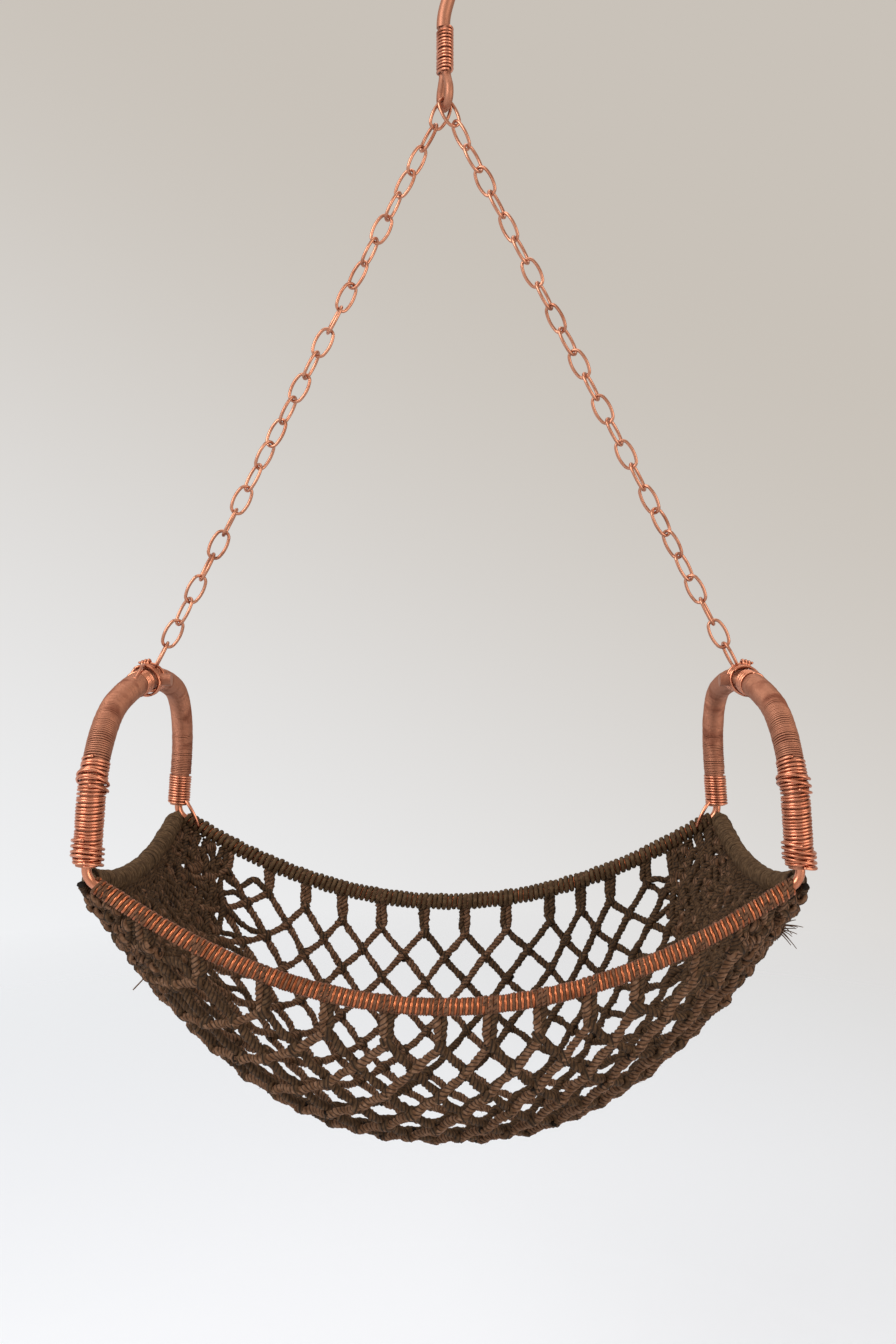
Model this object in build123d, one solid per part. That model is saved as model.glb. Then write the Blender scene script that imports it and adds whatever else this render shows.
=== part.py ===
from build123d import *
from math import cos, pi, radians, sin, sqrt
import os

# A cord net basket between two copper handles, hung on two link chains from a crook.
# Millimetres, +Z up. X runs along the basket and Y from its front rim to its back rim.
# Heights are counted from the feet of the handles. seated() then lowers every piece,
# so that the origin is the point of the crook that bears on what carries it.

# Basket frame
basket_length = 400.0
basket_width = 232.0
front_rim_sag = 73.0
back_rim_sag = 66.0
end_rail_sag = 18.0
rim_rod = 5.6
rim_wrap_wall = 1.85
rail_rod = 7.0
rail_wrap_wall = 2.4
corner_bend = 10.0
rim_shoulder_share = 0.5
rim_end_share = 0.89
rim_wrap_start = 1.5
rail_wrap_start = 5.0

# Handles
handle_rod = 12.6
handle_wrap_wall = 1.2
leg_straight = 40.0
arch_corner = 58.0
arch_corner_turn = 75.0
handle_lean = 4.4
leg_foot_gap = 6.5
socket_depth = 22.0
socket_clearance = 0.1
peg_rod = 8.0
peg_bend = 8.0
peg_setback = 6.0
peg_straight = 8.0
front_rod_end = 15.0

# Wire bindings
binding_wire = 1.8
binding_pitch = 2.6
front_binding_turns = 24
back_binding_turns = 9
back_binding_pitch = 2.5
lashing_wire = 1.8
lashing_pitch = 2.4
lashing_turns = 6
lashing_start = 2.4
chain_loop_wire = 1.8

# Net
net_depth = 181.0
net_overhang = 4.0
net_wall = 4.4
gather_wall = 6.0
net_station_shares = (0.0, 0.33, 0.58, 0.76, 0.88, 0.95, 1.0)
net_fullness_share = 0.74
gather_start_share = 0.8
net_end_depth = 29.0
net_taper = 2.4
mesh_columns = 10
mesh_pitch = 31.0
mesh_rows = 6
mesh_open_share = 0.77
mesh_cut = 7.0
slope_step = 1.0

# Chains
link_count = 25
link_wire = 2.1
link_half_width = 5.0
link_end_bend = 4.2
link_gap = 0.5
left_link_rolls = (
    22, -58, 48, -30, 75, 0, 72, -36, 36, -72, 0, 78, -6,
    70, -25, 50, -50, 22, -85, 5, -68, 30, -50, 25, -75,
)
right_link_rolls = (
    22, -58, 48, -28, 60, -48, 60, -12, 62, -40, 50, -22, 62,
    -15, 58, -14, 65, -40, 34, -50, 44, -30, 72, -5, -80,
)

# Hanger
eye_height = 468.3
eye_rod = 5.4
eye_half_gap = 7.6
eye_turn = 22.0
eye_leg = 3.0
eye_neck = 9.0
eye_round_share = 0.98
hanger_binding_wire = 1.6
hanger_binding_turns = 12
hanger_binding_pitch = 2.3
eye_link_lift = 1.2
eye_link_spread = 2.25
shank_wrap = 8.6
shank_start = 7.0
shank_rise = 97.0
shank_lean = 12.0
shank_bend = 44.0
crook_radius = 22.0
crook_tip = 24.0
bare_crook_tip = 3.0
oval_binding_shares = (1.13, 1.2)

# Fits
seat_gap = 0.3
wrap_clearance = 0.05
overrun = 6.0

half_length = basket_length / 2
half_width = basket_width / 2
X_AXIS = Vector(1, 0, 0)
Y_AXIS = Vector(0, 1, 0)


def rod(path, diameter):
    """A round rod along a path."""
    face = Plane(origin=path @ 0, z_dir=path % 0) * Circle(diameter / 2)
    return sweep(face, path=path)


def sleeve(path, inner, wall):
    """A close wrapping along a path, round a rod of diameter inner."""
    ring = Circle(inner / 2 + wrap_clearance + wall) - Circle(inner / 2 + wrap_clearance)
    return sweep(Plane(origin=path @ 0, z_dir=path % 0) * ring, path=path)


def biarc(start, start_way, end, end_way):
    """Two tangent arcs from start to end, with the directions given at both."""
    across = end - start
    ways = start_way + end_way
    a = ways.dot(ways) - 4
    b = -2 * across.dot(ways)
    reach = (-b - sqrt(b * b - 4 * a * across.dot(across))) / (2 * a)
    first = start + start_way * reach
    last = end - end_way * reach
    middle = (first + last) / 2
    return [
        TangentArc(start, middle, tangent=start_way),
        TangentArc(middle, end, tangent=last - first),
    ]


def wound_wire(point_at, turns, wire, name):
    """One unbroken wire along point_at(turn), in half turns, with a straight end at both ends."""
    tiny = 0.001
    half_turns = round(2 * turns)
    points = [point_at(i / 2) for i in range(half_turns + 1)]
    ways = [
        (point_at(i / 2 + tiny) - point_at(i / 2 - tiny)).normalized()
        for i in range(half_turns + 1)
    ]
    edges = [Line(points[0] - ways[0] * wire, points[0])]
    for i in range(half_turns):
        edges += biarc(points[i], ways[i], points[i + 1], ways[i + 1])
    edges.append(Line(points[-1], points[-1] + ways[-1] * wire))
    steps = 24
    trail = [point_at(i / steps) for i in range(int(turns * steps) + 1)]
    gap = min(
        (p - q).length
        for i, p in enumerate(trail)
        for q in trail[i + steps // 2 : i + 2 * steps]
    )
    print(f"{name}: {turns} turns, least gap to itself {gap - wire:.2f} mm")
    return rod(Wire(edges), wire)


# The handles


def arch_plane(side):
    """The leaning plane of a handle: local x is the row's Y, and local y runs up the handle."""
    lean = radians(handle_lean)
    up = Vector(-side * sin(lean), 0, cos(lean))
    return Plane(origin=(side * half_length, 0, 0), x_dir=Y_AXIS, z_dir=Y_AXIS.cross(up))


arch_turn = radians(arch_corner_turn)
corner_across = half_width - arch_corner
crown_radius = arch_corner + corner_across / cos(arch_turn)
crown_base = leg_straight - corner_across / cos(arch_turn) * sin(arch_turn)
arch_top = crown_base + crown_radius


def arch_at(along):
    """Where the back leg's line is after a length along it from its foot, and its direction."""
    if along <= leg_straight:
        return (half_width, along), (0.0, 1.0)
    turned = (along - leg_straight) / arch_corner
    if turned <= arch_turn:
        place = (
            corner_across + arch_corner * cos(turned),
            leg_straight + arch_corner * sin(turned),
        )
        return place, (-sin(turned), cos(turned))
    turned = arch_turn + (turned - arch_turn) * arch_corner / crown_radius
    place = (crown_radius * cos(turned), crown_base + crown_radius * sin(turned))
    return place, (-sin(turned), cos(turned))


arch_half = leg_straight + arch_corner * arch_turn + crown_radius * (pi / 2 - arch_turn)


def arch_point(side, end, along, out=0.0, across=0.0):
    """A point beside the handle's line. end is -1 at the front leg and 1 at the back leg."""
    (y, h), (way_y, way_h) = arch_at(along)
    local = Vector(end * (y + out * way_h), h - out * way_y, across)
    return arch_plane(side).from_local_coords(local)


def arch_path(side, end, start, stop):
    """The handle's line from one length along it to another, as tangent lines and arcs."""
    marks = [leg_straight, leg_straight + arch_corner * arch_turn]
    stations = [start, *[m for m in marks if start < m < stop], stop]
    edges = []
    for a, b in zip(stations, stations[1:]):
        ends = arch_point(side, end, a), arch_point(side, end, b)
        if b <= leg_straight:
            edges.append(Line(*ends))
        else:
            edges.append(ThreePointArc(ends[0], arch_point(side, end, (a + b) / 2), ends[1]))
    return Wire(edges)


def binding_top(turns, pitch):
    """How far up its leg a foot binding reaches, with the wire's own half thickness."""
    return leg_foot_gap + binding_wire + turns * pitch + binding_wire / 2 + seat_gap


def foot_binding(side, end, turns, pitch, name):
    """The wire wound round a leg above its foot, which grips the rim's upturned end."""
    reach = (handle_rod + binding_wire) / 2 + wrap_clearance

    def point_at(turn):
        along = leg_foot_gap + binding_wire + pitch * turn
        angle = 2 * pi * turn
        return arch_point(side, end, along, reach * cos(angle), reach * sin(angle))

    return wound_wire(point_at, turns, binding_wire, name)


def leg_rod(side, end, top):
    """A leg's rod from above its foot to top, with the socket for the rim's upturned end."""
    solid = rod(arch_path(side, end, leg_foot_gap, top), handle_rod)
    socket = rod(
        Wire([Line(arch_point(side, end, 0), arch_point(side, end, leg_foot_gap + socket_depth))]),
        rim_rod + 2 * socket_clearance,
    )
    return solid - socket


def front_leg(side):
    """The front rod, which comes over the top and ends as a bare peg towards the middle."""
    body = leg_rod(side, -1, arch_half - front_rod_end)
    bend_start = arch_point(side, -1, arch_half - peg_setback - peg_bend)
    root = arch_point(side, -1, arch_half - front_rod_end - peg_rod)
    inward = Vector(-side, 0, 0)
    forward = (bend_start - root).normalized()
    bend_end = bend_start + forward * peg_bend + inward * peg_bend
    bend = TangentArc(bend_start, bend_end, tangent=forward)
    tip = Line(bend_end, bend_end + (bend % 1) * peg_straight)
    return body + rod(Wire([Line(root, bend_start), bend, tip]), peg_rod)


back_rod_end = peg_setback - peg_rod / 2 - seat_gap


def handle(side, word):
    """All the pieces of one handle, by node name."""
    front_top = binding_top(front_binding_turns, binding_pitch)
    back_top = binding_top(back_binding_turns, back_binding_pitch)
    lashing_span = lashing_turns * lashing_pitch
    front_stop = arch_half - front_rod_end - lashing_span - 2 * lashing_wire
    back_stop = arch_half - lashing_start - lashing_span - 2 * lashing_wire
    wrap_reach = (handle_rod + lashing_wire) / 2 + wrap_clearance

    def lashing_at(end, first):
        def point_at(turn):
            angle = 2 * pi * turn
            along = first + lashing_pitch * turn
            return arch_point(side, end, along, wrap_reach * cos(angle), wrap_reach * sin(angle))

        return wound_wire(point_at, lashing_turns, lashing_wire, f"{word}_top_lashing")

    lashings = [
        lashing_at(-1, front_stop + lashing_wire),
        lashing_at(1, back_stop + lashing_wire),
    ]
    return {
        f"{word}_handle_front_rod": front_leg(side),
        f"{word}_handle_back_rod": leg_rod(side, 1, arch_half + back_rod_end),
        f"{word}_handle_front_wrap": sleeve(
            arch_path(side, -1, front_top, front_stop), handle_rod, handle_wrap_wall
        ),
        f"{word}_handle_back_wrap": sleeve(
            arch_path(side, 1, back_top, back_stop), handle_rod, handle_wrap_wall
        ),
        f"{word}_front_foot_binding": foot_binding(
            side, -1, front_binding_turns, binding_pitch, f"{word}_front_foot_binding"
        ),
        f"{word}_back_foot_binding": foot_binding(
            side, 1, back_binding_turns, back_binding_pitch, f"{word}_back_foot_binding"
        ),
        f"{word}_top_lashing": Compound(children=lashings),
        f"{word}_chain_loop": chain_loop(side),
    }


# The chains

loop_room = handle_rod / 2 + seat_gap + link_wire + 2 * seat_gap
eye_centre = Vector(0, 0, eye_height)


def eye_way():
    """The level direction of the eye's rod at its lowest point."""
    return Vector(sin(radians(eye_turn)), -cos(radians(eye_turn)), 0)


def chain_start(side):
    """The place on the middle of the eye's rod that a chain hangs from."""
    return eye_centre + eye_way() * side * eye_link_spread


def loop_hold():
    """How far up the chain from the handle's top the last link bears."""
    return loop_room + seat_gap / 2


def chain_way(side):
    """The direction down a chain, from the eye to the handle's top."""
    top = arch_point(side, 1, arch_half)
    return (Vector(top.X, 0, top.Z) - chain_start(side)).normalized()


def chain_foot(side):
    """Where the last link pulls on the loop at the handle's top."""
    top = arch_point(side, 1, arch_half)
    return Vector(top.X, 0, top.Z) - chain_way(side) * loop_room


def chain_head(side):
    """Where the first link hangs on the eye, above the middle of the eye's rod."""
    return chain_start(side) - chain_way(side) * (eye_rod / 2 + eye_link_lift)


chain_pitch = (chain_foot(1) - chain_head(1)).length / link_count
link_inner = chain_pitch + link_gap


def chain_point(side, k):
    """The k-th contact down a chain: 0 on the eye and link_count on the handle's loop."""
    return chain_head(side) + chain_way(side) * chain_pitch * k


def oval(half_long, half_wide, end_bend):
    """A closed oval of four tangent arcs about the origin, long along X."""
    end_x = half_long - end_bend
    side_radius = (end_x**2 + half_wide**2 - end_bend**2) / (2 * (half_wide - end_bend))
    share = side_radius / (side_radius - end_bend)
    centre_y = half_wide - side_radius
    knot = Vector(end_x * share, centre_y - centre_y * share, 0)
    far, high = Vector(half_long, 0, 0), Vector(0, half_wide, 0)
    corners = [Vector(sx * knot.X, sy * knot.Y, 0) for sx, sy in ((1, -1), (1, 1), (-1, 1), (-1, -1))]
    middles = [far, high, far * -1, high * -1]
    return Wire(
        [ThreePointArc(corners[i], middles[i], corners[(i + 1) % 4]) for i in range(4)]
    )


def chain_link(top, bottom, roll):
    """One link between two contacts, turned by roll about the chain from face-on."""
    way = (bottom - top).normalized()
    level = way.cross(Y_AXIS).normalized()
    turned = radians(roll)
    normal = level.cross(way) * cos(turned) - level * sin(turned)
    half_long = ((bottom - top).length + link_gap + link_wire) / 2
    plane = Plane(origin=(top + bottom) / 2, x_dir=way, z_dir=normal)
    return rod(plane * oval(half_long, link_half_width, link_end_bend), link_wire)


def link_pair(k):
    """The k-th link of both chains, which swing together."""
    links = []
    for side, rolls in ((-1, left_link_rolls), (1, right_link_rolls)):
        links.append(chain_link(chain_point(side, k), chain_point(side, k + 1), rolls[k]))
    return Compound(children=links)


def chain_loop(side):
    """The wire ring round the handle's top that the last link pulls on."""
    top = arch_point(side, 1, arch_half)
    top = Vector(top.X, 0, top.Z)
    high = loop_hold() + chain_loop_wire / 2
    low = handle_rod / 2 + seat_gap + chain_loop_wire / 2
    centre = top - chain_way(side) * (high - low) / 2
    plane = Plane(origin=centre, x_dir=X_AXIS, z_dir=Y_AXIS)
    return rod(plane * Wire(CenterArc((0, 0), (high + low) / 2, 0, 360)), chain_loop_wire)


# The rims, end rails and net


def rim_height(x, sag):
    """The height of a rim's line at x: a shallow hanging curve between the feet."""
    return -sag * (1 - (x / half_length) ** 2)


def rim_half(sag):
    """A rim's line from its middle to its right end, as edges in the XZ plane at Y = 0.

    Two tangent arcs, a short straight, a bend and the straight end in the leg's socket.
    """
    middle = Vector(0, 0, -sag)
    shoulder_x = half_length * rim_shoulder_share
    end_x = half_length * rim_end_share
    shoulder = Vector(shoulder_x, 0, rim_height(shoulder_x, sag))
    end = Vector(end_x, 0, rim_height(end_x, sag))
    first = TangentArc(middle, shoulder, tangent=X_AXIS)
    second = TangentArc(shoulder, end, tangent=first % 1)
    way = second % 1
    lean = radians(handle_lean)
    up = Vector(-sin(lean), 0, cos(lean))
    foot = Vector(half_length, 0, 0)
    across = foot - end
    run = (across.X * up.Z - across.Z * up.X) / (way.X * up.Z - way.Z * up.X)
    corner = end + way * run
    turn = radians(way.get_angle(up))
    back_off = corner_bend * sin(turn / 2) / cos(turn / 2)
    bend_in = corner - way * back_off
    bend_out = corner + up * back_off
    bend = TangentArc(bend_in, bend_out, tangent=way)
    plug_top = foot + up * (leg_foot_gap + socket_depth - seat_gap)
    return [first, second, Line(end, bend_in), bend, Line(bend_out, plug_top)]


def rim_line(end, edges):
    """A rim's whole line, front (-1) or back (1), from the edges of its right half."""
    moved = [Pos(0, end * half_width, 0) * e for e in edges]
    return Wire([e.mirror(Plane.YZ) for e in moved] + moved)


def wrapped_edges(sag):
    """The edges of a rim's right half that its cord and wire wrapping covers."""
    first, second, straight = rim_half(sag)[:3]
    stop = straight @ 1 - (straight % 1) * rim_wrap_start
    return [first, second, Line(straight @ 0, stop)]


def rail_path(side, trim):
    """The line of an end rail between the two feet, shortened by trim at each end."""
    slope = 2 * end_rail_sag / half_width
    reach = half_width - (rim_rod + rail_rod * slope) / 2 - seat_gap - trim
    x = side * half_length
    rise = end_rail_sag * (1 - (reach / half_width) ** 2)
    ends = [Vector(x, -reach, -rise), Vector(x, reach, -rise)]
    return Wire([ThreePointArc(ends[0], Vector(x, 0, -end_rail_sag), ends[1])])


def net_height(x):
    """The height of the net's lowest line at x."""
    full = half_length + net_overhang
    share = 1 - min(abs(x / full), 1) ** net_taper
    return -net_end_depth - (net_depth - net_end_depth) * share


def net_arc(x, end, inset):
    """Half of the net's section at x, from the front (-1) or back (1) rim to its lowest line."""
    scale = half_length / (half_length + net_overhang)
    low = net_height(x) + inset
    top = rim_height(x * scale, front_rim_sag if end < 0 else back_rim_sag)
    reach = end * (half_width - inset)
    full = Vector(x, reach * net_fullness_share, top + (low - top) * net_fullness_share)
    return ThreePointArc(Vector(x, reach, top), full, Vector(x, 0, low))


def net_section(x, inset, lift):
    """A filled cross-section of the basket at x, drawn in by inset, its top raised by lift."""
    edges = [net_arc(x, end, inset) for end in (-1, 1)]
    front, back = (edge @ 0 for edge in edges)
    if lift:
        high = [front + Vector(0, 0, lift), back + Vector(0, 0, lift)]
        edges += [Line(back, high[1]), Line(high[1], high[0]), Line(high[0], front)]
    else:
        edges.append(Line(back, front))
    return make_face(Wire(edges))


def mesh_opening(x, end, share):
    """One diamond opening of the net, square to its surface at a share of the way down."""
    arc = net_arc(x, end, 0.0)
    near, far = (net_arc(x + end * step, end, 0.0) @ share for step in (-slope_step, slope_step))
    out = (far - near).cross(arc % share).normalized()
    tall = arc.length / mesh_rows * mesh_open_share / 2
    wide = mesh_pitch * mesh_open_share / 2
    plane = Plane(origin=arc @ share, x_dir=far - near, z_dir=out)
    diamond = plane * Polygon((wide, 0), (0, tall), (-wide, 0), (0, -tall))
    return extrude(diamond, amount=mesh_cut, both=True)


def mesh_openings():
    """All the net's diamond openings, in rows from each rim down, every second row staggered."""
    cutters = []
    for half_row in range(1, 2 * mesh_rows + 1):
        columns = mesh_columns - (half_row + 1) % 2
        for column in range(columns):
            x = (column - (columns - 1) / 2) * mesh_pitch
            for end in (-1, 1) if half_row < 2 * mesh_rows else (1,):
                cutters.append(mesh_opening(x, end, half_row / (2 * mesh_rows)))
    return cutters


def net_bowl(wall):
    """The basket's shell, open at the top and over both end rails."""
    full = half_length + net_overhang
    shares = [-s for s in reversed(net_station_shares[1:])] + list(net_station_shares)
    outer = loft([net_section(full * s, 0.0, 0.0) for s in shares])
    inner = loft([net_section(full * s, wall, overrun) for s in shares])
    return outer - inner


def frame_room():
    """The rims, end rails and feet, each fattened by the gap that the net keeps from them."""
    rim = rim_rod + 2 * (wrap_clearance + rim_wrap_wall + seat_gap)
    rail = rail_rod + 2 * (wrap_clearance + rail_wrap_wall + seat_gap)
    room = []
    for sag, end in ((front_rim_sag, -1), (back_rim_sag, 1)):
        room.append(rod(rim_line(end, rim_half(sag)), rim))
    for side in (-1, 1):
        room.append(rod(rail_path(side, 0.0), rail))
    return room


def net_slice(low, high, wall):
    """The net between two places along X, cut clear of the frame that carries it."""
    shell = net_bowl(wall)
    tall = net_depth + basket_width
    keep = Pos((low + high) / 2, 0, -tall / 2 + overrun) * Box(high - low, 2 * basket_width, tall)
    piece = shell & keep
    for solid in frame_room():
        piece = piece - solid
    return max(piece.solids(), key=lambda s: s.volume)


# The hanger

binding_span = hanger_binding_turns * hanger_binding_pitch + 2 * hanger_binding_wire
neck_low = eye_height + eye_half_gap + eye_leg
neck_high = neck_low + eye_neck
binding_high = neck_high + binding_span
crook_height = binding_high + shank_rise
seat_height = crook_height + crook_radius - shank_wrap / 2
limb_reach = (eye_rod + seat_gap) / 2
UP = Vector(0, 0, 1)


def eye_path():
    """The hanger's rod from the end of its short limb, round the eye and up the long limb."""
    side = eye_way()
    points = [
        side * limb_reach + UP * (binding_high - hanger_binding_wire),
        side * limb_reach + UP * neck_high,
        side * eye_half_gap + UP * neck_low,
        side * eye_half_gap + UP * eye_height,
        side * -eye_half_gap + UP * eye_height,
        side * -eye_half_gap + UP * neck_low,
        side * -limb_reach + UP * neck_high,
        side * -limb_reach + UP * binding_high,
    ]
    eye_bend = eye_half_gap * eye_round_share
    return FilletPolyline(
        *points, radius=[eye_neck, eye_neck, eye_bend, eye_bend, eye_neck, eye_neck]
    )


def shank_path():
    """The rod above the binding: the leaning shank, the crook's half round and its short tip."""
    foot = eye_way() * -limb_reach + UP * binding_high
    points = [
        foot,
        foot + UP * shank_start,
        Vector(crook_radius, 0, crook_height - shank_lean),
        Vector(crook_radius, 0, crook_height),
    ]
    rise = FilletPolyline(*points, radius=[shank_bend, shank_bend])
    end = Vector(-crook_radius, 0, crook_height)
    over = ThreePointArc(points[-1], Vector(0, 0, crook_height + crook_radius), end)
    tip = Line(end, end - UP * crook_tip)
    return rise.edges() + [over, tip]


def hanger_nodes():
    """The hanger's rod with its eye, the sleeve over its shank and crook, and its binding."""
    shank = shank_path()
    bare_tip = Line(shank[-1] @ 0, (shank[-1] @ 1) + UP * bare_crook_tip)
    long_reach, short_reach = (
        (eye_rod + hanger_binding_wire) / 2 * share for share in oval_binding_shares
    )

    def point_at(turn):
        angle = 2 * pi * turn
        height = neck_high + hanger_binding_wire + hanger_binding_pitch * turn
        beside = eye_way() * (limb_reach + long_reach) * cos(angle)
        return beside + eye_way().cross(UP) * short_reach * sin(angle) + UP * height

    return {
        "hanger_rod": rod(Wire(eye_path().edges() + shank), eye_rod),
        "hanger_sleeve": sleeve(
            Wire(shank[:-1] + [bare_tip]), eye_rod, (shank_wrap - eye_rod) / 2 - wrap_clearance
        ),
        "hanger_binding": wound_wire(
            point_at, hanger_binding_turns, hanger_binding_wire, "hanger_binding"
        ),
    }


def frame_nodes():
    """The rims, the end rails and their wrappings, and the net."""
    nodes = {}
    for word, sag, end in (("front", front_rim_sag, -1), ("back", back_rim_sag, 1)):
        nodes[f"{word}_rim_rod"] = rod(rim_line(end, rim_half(sag)), rim_rod)
        nodes[f"{word}_rim_wrap"] = sleeve(rim_line(end, wrapped_edges(sag)), rim_rod, rim_wrap_wall)
    for word, side in (("left", -1), ("right", 1)):
        nodes[f"{word}_rail_rod"] = rod(rail_path(side, 0.0), rail_rod)
        nodes[f"{word}_rail_wrap"] = sleeve(
            rail_path(side, rail_wrap_start), rail_rod, rail_wrap_wall
        )
    edge = half_length * gather_start_share
    far = half_length + net_overhang + overrun
    nodes["net_body"] = net_slice(-edge, edge, net_wall) - mesh_openings()
    nodes["left_net_gather"] = net_slice(-far, -edge, gather_wall)
    nodes["right_net_gather"] = net_slice(edge, far, gather_wall)
    return nodes


def seated(shape):
    """The shape moved so that the crook's bearing point is the origin."""
    return Pos(0, 0, -seat_height) * shape


def all_nodes():
    """Every piece of the basket, by node name, with its height counted from the feet."""
    nodes = hanger_nodes()
    for k in range(link_count):
        nodes[f"chain_links_{k + 1:02d}"] = link_pair(k)
    for side, word in ((-1, "left"), (1, "right")):
        nodes.update(handle(side, word))
    nodes.update(frame_nodes())
    return nodes


os.makedirs("parts", exist_ok=True)
for node, shape in all_nodes().items():
    export_step(seated(shape), f"parts/{node}.step")
print(f"chain pitch {chain_pitch:.2f} mm, crook seat {seat_height:.1f} mm above the feet")
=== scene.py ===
"""Looks of a hanging net basket of copper wire and dark cord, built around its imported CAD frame.

Sizes are in millimetres, with heights counted from the feet of the two handles, as on the
maker's bench. A mesh is turned to metres in the frame's own place when it is made.
"""

import logging
import math
from dataclasses import dataclass, field
from enum import Enum

import bpy
import numpy as np
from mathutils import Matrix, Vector

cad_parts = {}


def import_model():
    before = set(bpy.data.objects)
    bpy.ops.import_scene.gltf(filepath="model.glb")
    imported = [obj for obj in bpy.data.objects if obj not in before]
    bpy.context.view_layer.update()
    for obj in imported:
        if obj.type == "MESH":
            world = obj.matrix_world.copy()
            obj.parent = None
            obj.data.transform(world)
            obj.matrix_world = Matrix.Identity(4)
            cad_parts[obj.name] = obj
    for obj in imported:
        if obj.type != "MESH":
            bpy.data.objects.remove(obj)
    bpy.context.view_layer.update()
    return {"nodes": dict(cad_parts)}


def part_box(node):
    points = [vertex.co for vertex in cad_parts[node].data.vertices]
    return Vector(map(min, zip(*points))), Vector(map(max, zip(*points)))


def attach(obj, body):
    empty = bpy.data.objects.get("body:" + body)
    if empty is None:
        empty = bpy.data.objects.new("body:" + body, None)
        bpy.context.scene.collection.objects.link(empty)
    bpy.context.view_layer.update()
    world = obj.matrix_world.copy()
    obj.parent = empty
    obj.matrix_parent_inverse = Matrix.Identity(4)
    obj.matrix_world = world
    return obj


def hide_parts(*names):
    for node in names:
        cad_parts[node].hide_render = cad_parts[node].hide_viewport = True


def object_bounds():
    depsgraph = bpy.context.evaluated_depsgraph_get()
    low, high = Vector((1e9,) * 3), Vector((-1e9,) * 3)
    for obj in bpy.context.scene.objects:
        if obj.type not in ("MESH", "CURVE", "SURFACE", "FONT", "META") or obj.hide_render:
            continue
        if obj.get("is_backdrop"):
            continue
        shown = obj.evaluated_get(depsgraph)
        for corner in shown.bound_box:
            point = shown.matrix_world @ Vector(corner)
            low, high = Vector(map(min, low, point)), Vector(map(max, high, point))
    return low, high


Array = np.ndarray
LOG = logging.getLogger("basket")
MM = 0.001
TURN = 2 * math.pi
X_WAY = np.array([1.0, 0.0, 0.0])
Y_WAY = np.array([0.0, 1.0, 0.0])
UP = np.array([0.0, 0.0, 1.0])


class Side(Enum):
    """The two handles, by the sign of their place along X."""

    LEFT = -1
    RIGHT = 1

    @property
    def word(self) -> str:
        """The side's word in the names of its pieces."""
        return self.name.lower()


class End(Enum):
    """The two long rims and their legs, by the sign of their place along Y."""

    FRONT = -1
    BACK = 1

    @property
    def word(self) -> str:
        """The end's word in the names of its pieces."""
        return self.name.lower()


# Small helpers


def linear(code: str) -> tuple[float, float, float, float]:
    """An sRGB colour as linear light, c / 12.92 when dark and ((c + 0.055) / 1.055)^2.4 above.

    Args:
        code: The sRGB hex value, such as #C77B5A.

    Returns:
        Linear red, green and blue, and alpha 1.
    """
    shares = [int(code[i : i + 2], 16) / 255 for i in (1, 3, 5)]
    values = [c / 12.92 if c <= 0.04045 else ((c + 0.055) / 1.055) ** 2.4 for c in shares]
    return values[0], values[1], values[2], 1.0


def smooth_noise(places: Array, step: float, seed: int) -> Array:
    """Hand-made unevenness along a line.

    A random value from -1 to 1 stands at every step, and a smoothstep joins each to the next.

    Args:
        places: Where along the line to read it.
        step: The distance between two random values, in the same unit.
        seed: The seed of the random values.

    Returns:
        One value for each place.
    """
    cells = np.floor(places / step).astype(int)
    low = cells.min()
    draws = np.random.default_rng(seed).uniform(-1, 1, cells.max() - low + 2)
    share = places / step - cells
    share = share * share * (3 - 2 * share)
    return draws[cells - low] * (1 - share) + draws[cells - low + 1] * share


def unit(ways: Array) -> Array:
    """Each row of an array of directions at length 1."""
    return ways / np.linalg.norm(ways, axis=-1, keepdims=True)


def walked(line: Array) -> Array:
    """The length walked along a line of points up to each of them."""
    steps = np.linalg.norm(np.diff(line, axis=0), axis=1)
    return np.concatenate([[0.0], np.cumsum(steps)])


def spread(ways: Array, count: int) -> Array:
    """Directions along a line, read again at evenly spaced shares of its length.

    Args:
        ways: One direction for each point of the old line.
        count: The number of points of the new line.

    Returns:
        One direction for each point of the new line.
    """
    share, places = np.linspace(0, 1, count), np.linspace(0, 1, len(ways))
    return np.stack([np.interp(share, places, ways[:, k]) for k in range(3)], -1)


# Meshes


@dataclass(frozen=True)
class Profile:
    """The cross-section of a wire or a cord.

    The outline is an oval of the two half sizes. A plied cord has a lobe for each ply, as
    1 - groove * |cos(plies * angle / 2)|, and the whole outline turns once in lay millimetres.
    """

    thick: float
    wide: float
    sides: int = 8
    plies: int = 0
    groove: float = 0.0
    lay: float = 0.0

    def outline(self) -> tuple[Array, Array]:
        """The section's outline.

        Returns:
            The angles round the section and the radius share at each of them.
        """
        angles = np.arange(self.sides) * TURN / self.sides
        if not self.plies:
            return angles, np.ones(self.sides)
        return angles, 1 - self.groove * np.abs(np.cos(self.plies * angles / 2))


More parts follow.
